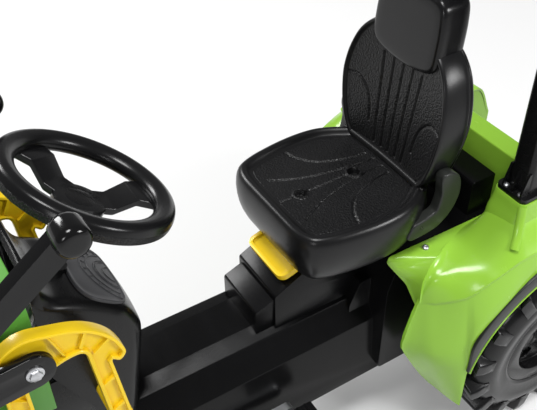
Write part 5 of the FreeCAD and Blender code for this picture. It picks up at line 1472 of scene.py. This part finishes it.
@dataclass
class Wheels:
    """The four wheels with their axle ends."""

    rear: Tyre = Tyre("rear", x=0.0, height=163.0, radius=163.0, width=72.0, rim=87.0, rim_width=60.0, lug=13.0,
                      count=16, lug_half=12.5)
    front: Tyre = Tyre("front", x=828.43, height=135.0, radius=135.0, width=64.0, rim=80.0, rim_width=54.0, lug=11.0,
                       count=14, lug_half=11.0)

    def build(self) -> None:
        """Builds and dresses the wheels."""
        self.rear.build(Side.LEFT, "rear_wheel_left")
        self.rear.build(Side.RIGHT, "rear_drive")
        for side in Side:
            self.front.build(side, "front_wheel_" + side.word)
        for node in ("rear_axle", "rear_axle_nuts", "stub_nut_left", "stub_nut_right"):
            dress(node, STEEL)


@dataclass
class Loader:
    """The front loader: brackets, arms, levers with grips, cross tube and bucket."""

    grip_x: float = 667.0
    grip_rise: float = 597.0
    grip: Plan = ((0, 114), (11, 114), (15.4, 114.8), (17.8, 117), (18.5, 121), (18.5, 137), (18.2, 140), (17, 143),
                  (15, 145.3), (12, 146.6), (8, 147), (0, 147))
    bracket: Plan = ((768, 276), (768, 476), (738, 493), (674, 472), (646, 442), (635, 410), (645, 400), (654, 410),
                     (640, 276), (664, 276), (678, 439), (701, 438.5), (744, 422), (744, 276))
    bracket_cuts: Sequence[float] = (4, 15, 16, 24, 18, 8, 5, 5, 4, 4, 12, 12, 8, 4)
    bracket_sides: tuple[float, float] = (114.0, 130.0)
    bolt: Plan = ((0, 149.4), (4.4, 149.2), (6.6, 148), (7, 145), (0, 145))
    washer: Plan = ((0, 145.2), (8.6, 145.2), (9.4, 144.6), (9.4, 143), (0, 143))
    shank: Plan = ((0, 143), (8, 143), (8, 114), (0, 114))
    pivot: tuple[float, float] = (734.0, 455.0)
    flange: float = 4.2
    flange_round: float = 0.7
    flange_grip: float = 0.6
    flange_edge: Plan = ((0.9, 0.0), (0.2, 0.3), (0.0, 1.0))
    web: float = 5.5
    drums: Plan = ((652.0, 68.0), (756.0, 56.0))
    drum_rise: float = 289.0
    drum_radius: float = 13.0
    drum_sunk: float = 3.0
    rib_half: float = 1.4
    rib_inset: float = 1.0
    rib_shares: Sequence[float] = (0.12, 0.5, 0.88)
    ribs: Sequence[tuple[float, float, float, float]] = (
        (672, 470, 684, 441), (699, 440, 712, 483), (648, 443, 672, 425), (742, 452, 766, 452), (744, 400, 768, 414),
        (744, 350, 768, 364), (649, 380, 672, 368), (646, 330, 667, 318))

    def brackets(self) -> None:
        """Builds the brackets: a thin web inside a broad flange, with ribs across it."""
        low, high = self.bracket_sides
        path = soft_path(flats(self.bracket), self.bracket_cuts, closed=True, bends=6, runs=4)
        outline, middle = even(path, 300), (low + high) / 2
        bends = ((self.flange, self.flange_round), (self.flange - self.flange_round, 0.0), *self.flange_edge)
        edge = [(self.flange, middle), *((inset, low + drop) for inset, drop in bends)]
        edge += [*((inset, high - drop) for inset, drop in reversed(bends)), (self.flange, middle)]
        form = Form().rows([upright_ring(outline, inset, y) for inset, y in edge])
        web = upright_ring(outline, self.flange - self.flange_grip, middle - self.web / 2)
        form.plate(web, ACROSS * self.web * MM)
        half, foot, top = self.rib_half, low + self.rib_inset, high - self.rib_inset
        rib_corners = ((-half, foot), (half, foot), (half, top), (-half, top))
        for x, rise, end_x, end_rise in self.ribs:
            rows = []
            for share in self.rib_shares:
                mid_x, mid_rise = x + (end_x - x) * share, rise + (end_rise - rise) * share
                rows.append([spot(mid_x + shift, y, mid_rise + shift) for shift, y in rib_corners])
            form.loft(rows)
        for x, reach in self.drums:
            end = low + self.drum_sunk
            drum = ((0, reach), (self.drum_radius, reach), (self.drum_radius, end), (0, end))
            form.turned(drum, spot(x, 0, self.drum_rise), 40)
        form.mirrored().close().piece("loader_bracket_mouldings", "chassis", YELLOW, ["loader_brackets"])

    def build(self) -> None:
        """Builds and dresses the loader."""
        self.brackets()
        softened("loader_arms", GLOSS_BLACK, 3.0, 3)
        softened("loader_levers", GLOSS_BLACK, 8.0, 6)
        form = Form().turned(self.grip, spot(self.grip_x, 0, self.grip_rise), 48)
        form.mirrored().close().piece("lever_grip_mouldings", "loader", GLOSS_BLACK, ["lever_grips"], angle=50)
        dress("loader_cross_tube", BLACK)
        dress("bucket_pins", STEEL)
        softened("bucket", BLACK, 1.2, 2)
        form, centre = Form(), spot(self.pivot[0], 0, self.pivot[1])
        for profile, steps in ((self.bolt, 6), (self.washer, 32), (self.shank, 32)):
            form.turned(profile, centre, steps)
        form.mirrored().close().piece("loader_pivot_bolts", body_of("loader_bolts"), STEEL, ["loader_bolts"])


@dataclass
class FrontEnd:
    """The hood with its lamps, the grille and the frame below."""

    def build(self) -> None:
        """Builds and dresses the front end."""
        softened("hood", HOOD_GREEN, 2.0, 3)
        softened("grille", BLACK, 1.0, 2)
        softened("front_frame", BLACK, 1.5, 2)
        softened("head_lamps", LENS, 1.2, 2)
        for node in ("hood_hinge_pin", "front_axle_beam", "knuckle_left", "knuckle_right", "tie_rod"):
            dress(node, STEEL)


@dataclass
class Chassis:
    """The tunnel with the seat base on it, and the hitch behind."""

    def build(self) -> None:
        """Builds and dresses the chassis."""
        softened("chassis_tunnel", DEEP_BLACK, 6.0, 4)
        softened("seat_base", DEEP_BLACK, 3.2, 3)
        softened("hitch_jaw", BLACK, 1.5, 2)


@dataclass
class Drive:
    """The pedals, the crank and the chain to the rear axle."""

    def build(self) -> None:
        """Builds and dresses the drive."""
        for side in Side:
            softened("pedal_" + side.word, BLACK, 1.0, 2)
        for node in ("crank", "crank_sprocket", "rear_sprocket", "chain"):
            dress(node, STEEL)
        for node in ("crank_bushes", "rear_axle_bushes"):
            dress(node, BLACK)


@dataclass
class Studio:
    """Floor, lights and camera."""

    position: Place = (0.2055, 0.6765, 1.145)
    azimuth: float = 148.6
    elevation: float = 41.13
    roll: float = -0.7
    focal_pixels: float = 800.0
    picture_width: float = 537.0
    sensor: float = 36.0
    floor_reach: float = 300.0
    floor_greys: tuple[float, float] = (0.54, 0.57)
    floor_rough: float = 0.7
    floor_drift: float = 0.7
    floor_glow: float = 0.2
    floor_specular: float = 0.1
    glow: float = 0.22
    backdrop: float = 0.86
    middle: Place = (0.0, 0.0, 0.4)
    sun_place: Place = (0.3, 0.2, 2.6)
    sun_strength: float = 2.4
    sun_angle: float = 20.0
    lights: Sequence[tuple[str, Place, float, float, Place]] = (
        ("left_light", (-1.4, 1.6, 1.6), 0.6, 32.0, middle),
        ("far_light", (0.6, -2.0, 1.8), 0.8, 40.0, middle),
        ("front_light", (1.1, 1.2, 1.3), 0.4, 6.0, (-0.2, 0.0, 0.4)))

    def camera(self) -> None:
        """Sets the camera at the photograph's place."""
        turn, lift, roll = (math.radians(angle) for angle in (self.azimuth, self.elevation, self.roll))
        back = Vector((math.sin(turn) * math.cos(lift), -math.cos(turn) * math.cos(lift), math.sin(lift)))
        right = UPWARD.cross(back).normalized()
        up = back.cross(right)
        axes = (right * math.cos(roll) + up * math.sin(roll), up * math.cos(roll) - right * math.sin(roll), back)
        data = bpy.data.cameras.new("camera")
        data.sensor_width = self.sensor
        data.lens = self.sensor * self.focal_pixels / self.picture_width
        data.clip_start = 0.01
        camera = bpy.data.objects.new("camera", data)
        camera.matrix_world = Matrix.Translation(self.position) @ Matrix(axes).transposed().to_4x4()
        bpy.context.scene.collection.objects.link(camera)
        bpy.context.scene.camera = camera

    def hang(self, data: bpy.types.Light, place: Place, aim: Place) -> None:
        """Puts a light at a place, turned to a point."""
        lamp = bpy.data.objects.new(data.name, data)
        lamp.location = place
        lamp.rotation_euler = (Vector(aim) - Vector(place)).to_track_quat("-Z", "Y").to_euler()
        bpy.context.scene.collection.objects.link(lamp)

    def lamps(self) -> None:
        """Adds the wide top light and the square soft lights."""
        sun = bpy.data.lights.new("top_light", "SUN")
        sun.energy, sun.angle = self.sun_strength, math.radians(self.sun_angle)
        self.hang(sun, self.sun_place, self.middle)
        for name, place, size, power, aim in self.lights:
            data = bpy.data.lights.new(name, "AREA")
            data.size, data.energy = size, power
            self.hang(data, place, aim)

    def floor(self) -> None:
        """Makes the plain pale floor."""
        form = Form()
        bmesh.ops.create_grid(form.mesh, x_segments=1, y_segments=1, size=self.floor_reach)
        mesh = bpy.data.meshes.new("floor")
        form.mesh.to_mesh(mesh)
        form.mesh.free()
        graph = Graph("pale_floor")
        low, high = ((grey, grey, grey) for grey in self.floor_greys)
        graph.surface(Base_Color=graph.blend(graph.noise(self.floor_drift), low, high), Roughness=self.floor_rough)
        graph.surface(Emission_Color=(1.0, 1.0, 1.0), Emission_Strength=self.floor_glow)
        graph.surface(Specular_IOR_Level=self.floor_specular)
        mesh.materials.append(graph.material)
        floor = bpy.data.objects.new("floor", mesh)
        bpy.context.scene.collection.objects.link(floor)

    def world(self) -> None:
        """Makes the even light from all around, and the paler backdrop that the camera sees."""
        world = bpy.data.worlds.new("studio")
        world.use_nodes = True
        nodes, links = world.node_tree.nodes, world.node_tree.links
        glow, backdrop = nodes["Background"], nodes.new("ShaderNodeBackground")
        for shader, strength in ((glow, self.glow), (backdrop, self.backdrop)):
            shader.inputs["Color"].default_value = (1.0, 1.0, 1.0, 1.0)
            shader.inputs["Strength"].default_value = strength
        choice = nodes.new("ShaderNodeMixShader")
        links.new(nodes.new("ShaderNodeLightPath").outputs["Is Camera Ray"], choice.inputs[0])
        links.new(glow.outputs[0], choice.inputs[1])
        links.new(backdrop.outputs[0], choice.inputs[2])
        links.new(choice.outputs[0], nodes["World Output"].inputs["Surface"])
        bpy.context.scene.world = world

    def build(self) -> None:
        """Makes the floor, the light and the camera."""
        self.floor()
        self.world()
        self.lamps()
        bpy.context.scene.view_settings.view_transform = "Standard"
        self.camera()


def main() -> None:
    """Builds the tractor's looks, one sub-assembly after the other."""
    logging.basicConfig(level=logging.INFO, format="%(name)s: %(message)s")
    Studio().build()
    for part in (Chassis(), Drive(), Wheels(), Fenders(), RollBar(), Seat(), Console(), Steering(), FrontEnd(),
                 Loader()):
        part.build()


if __name__ == "__main__":
    main()
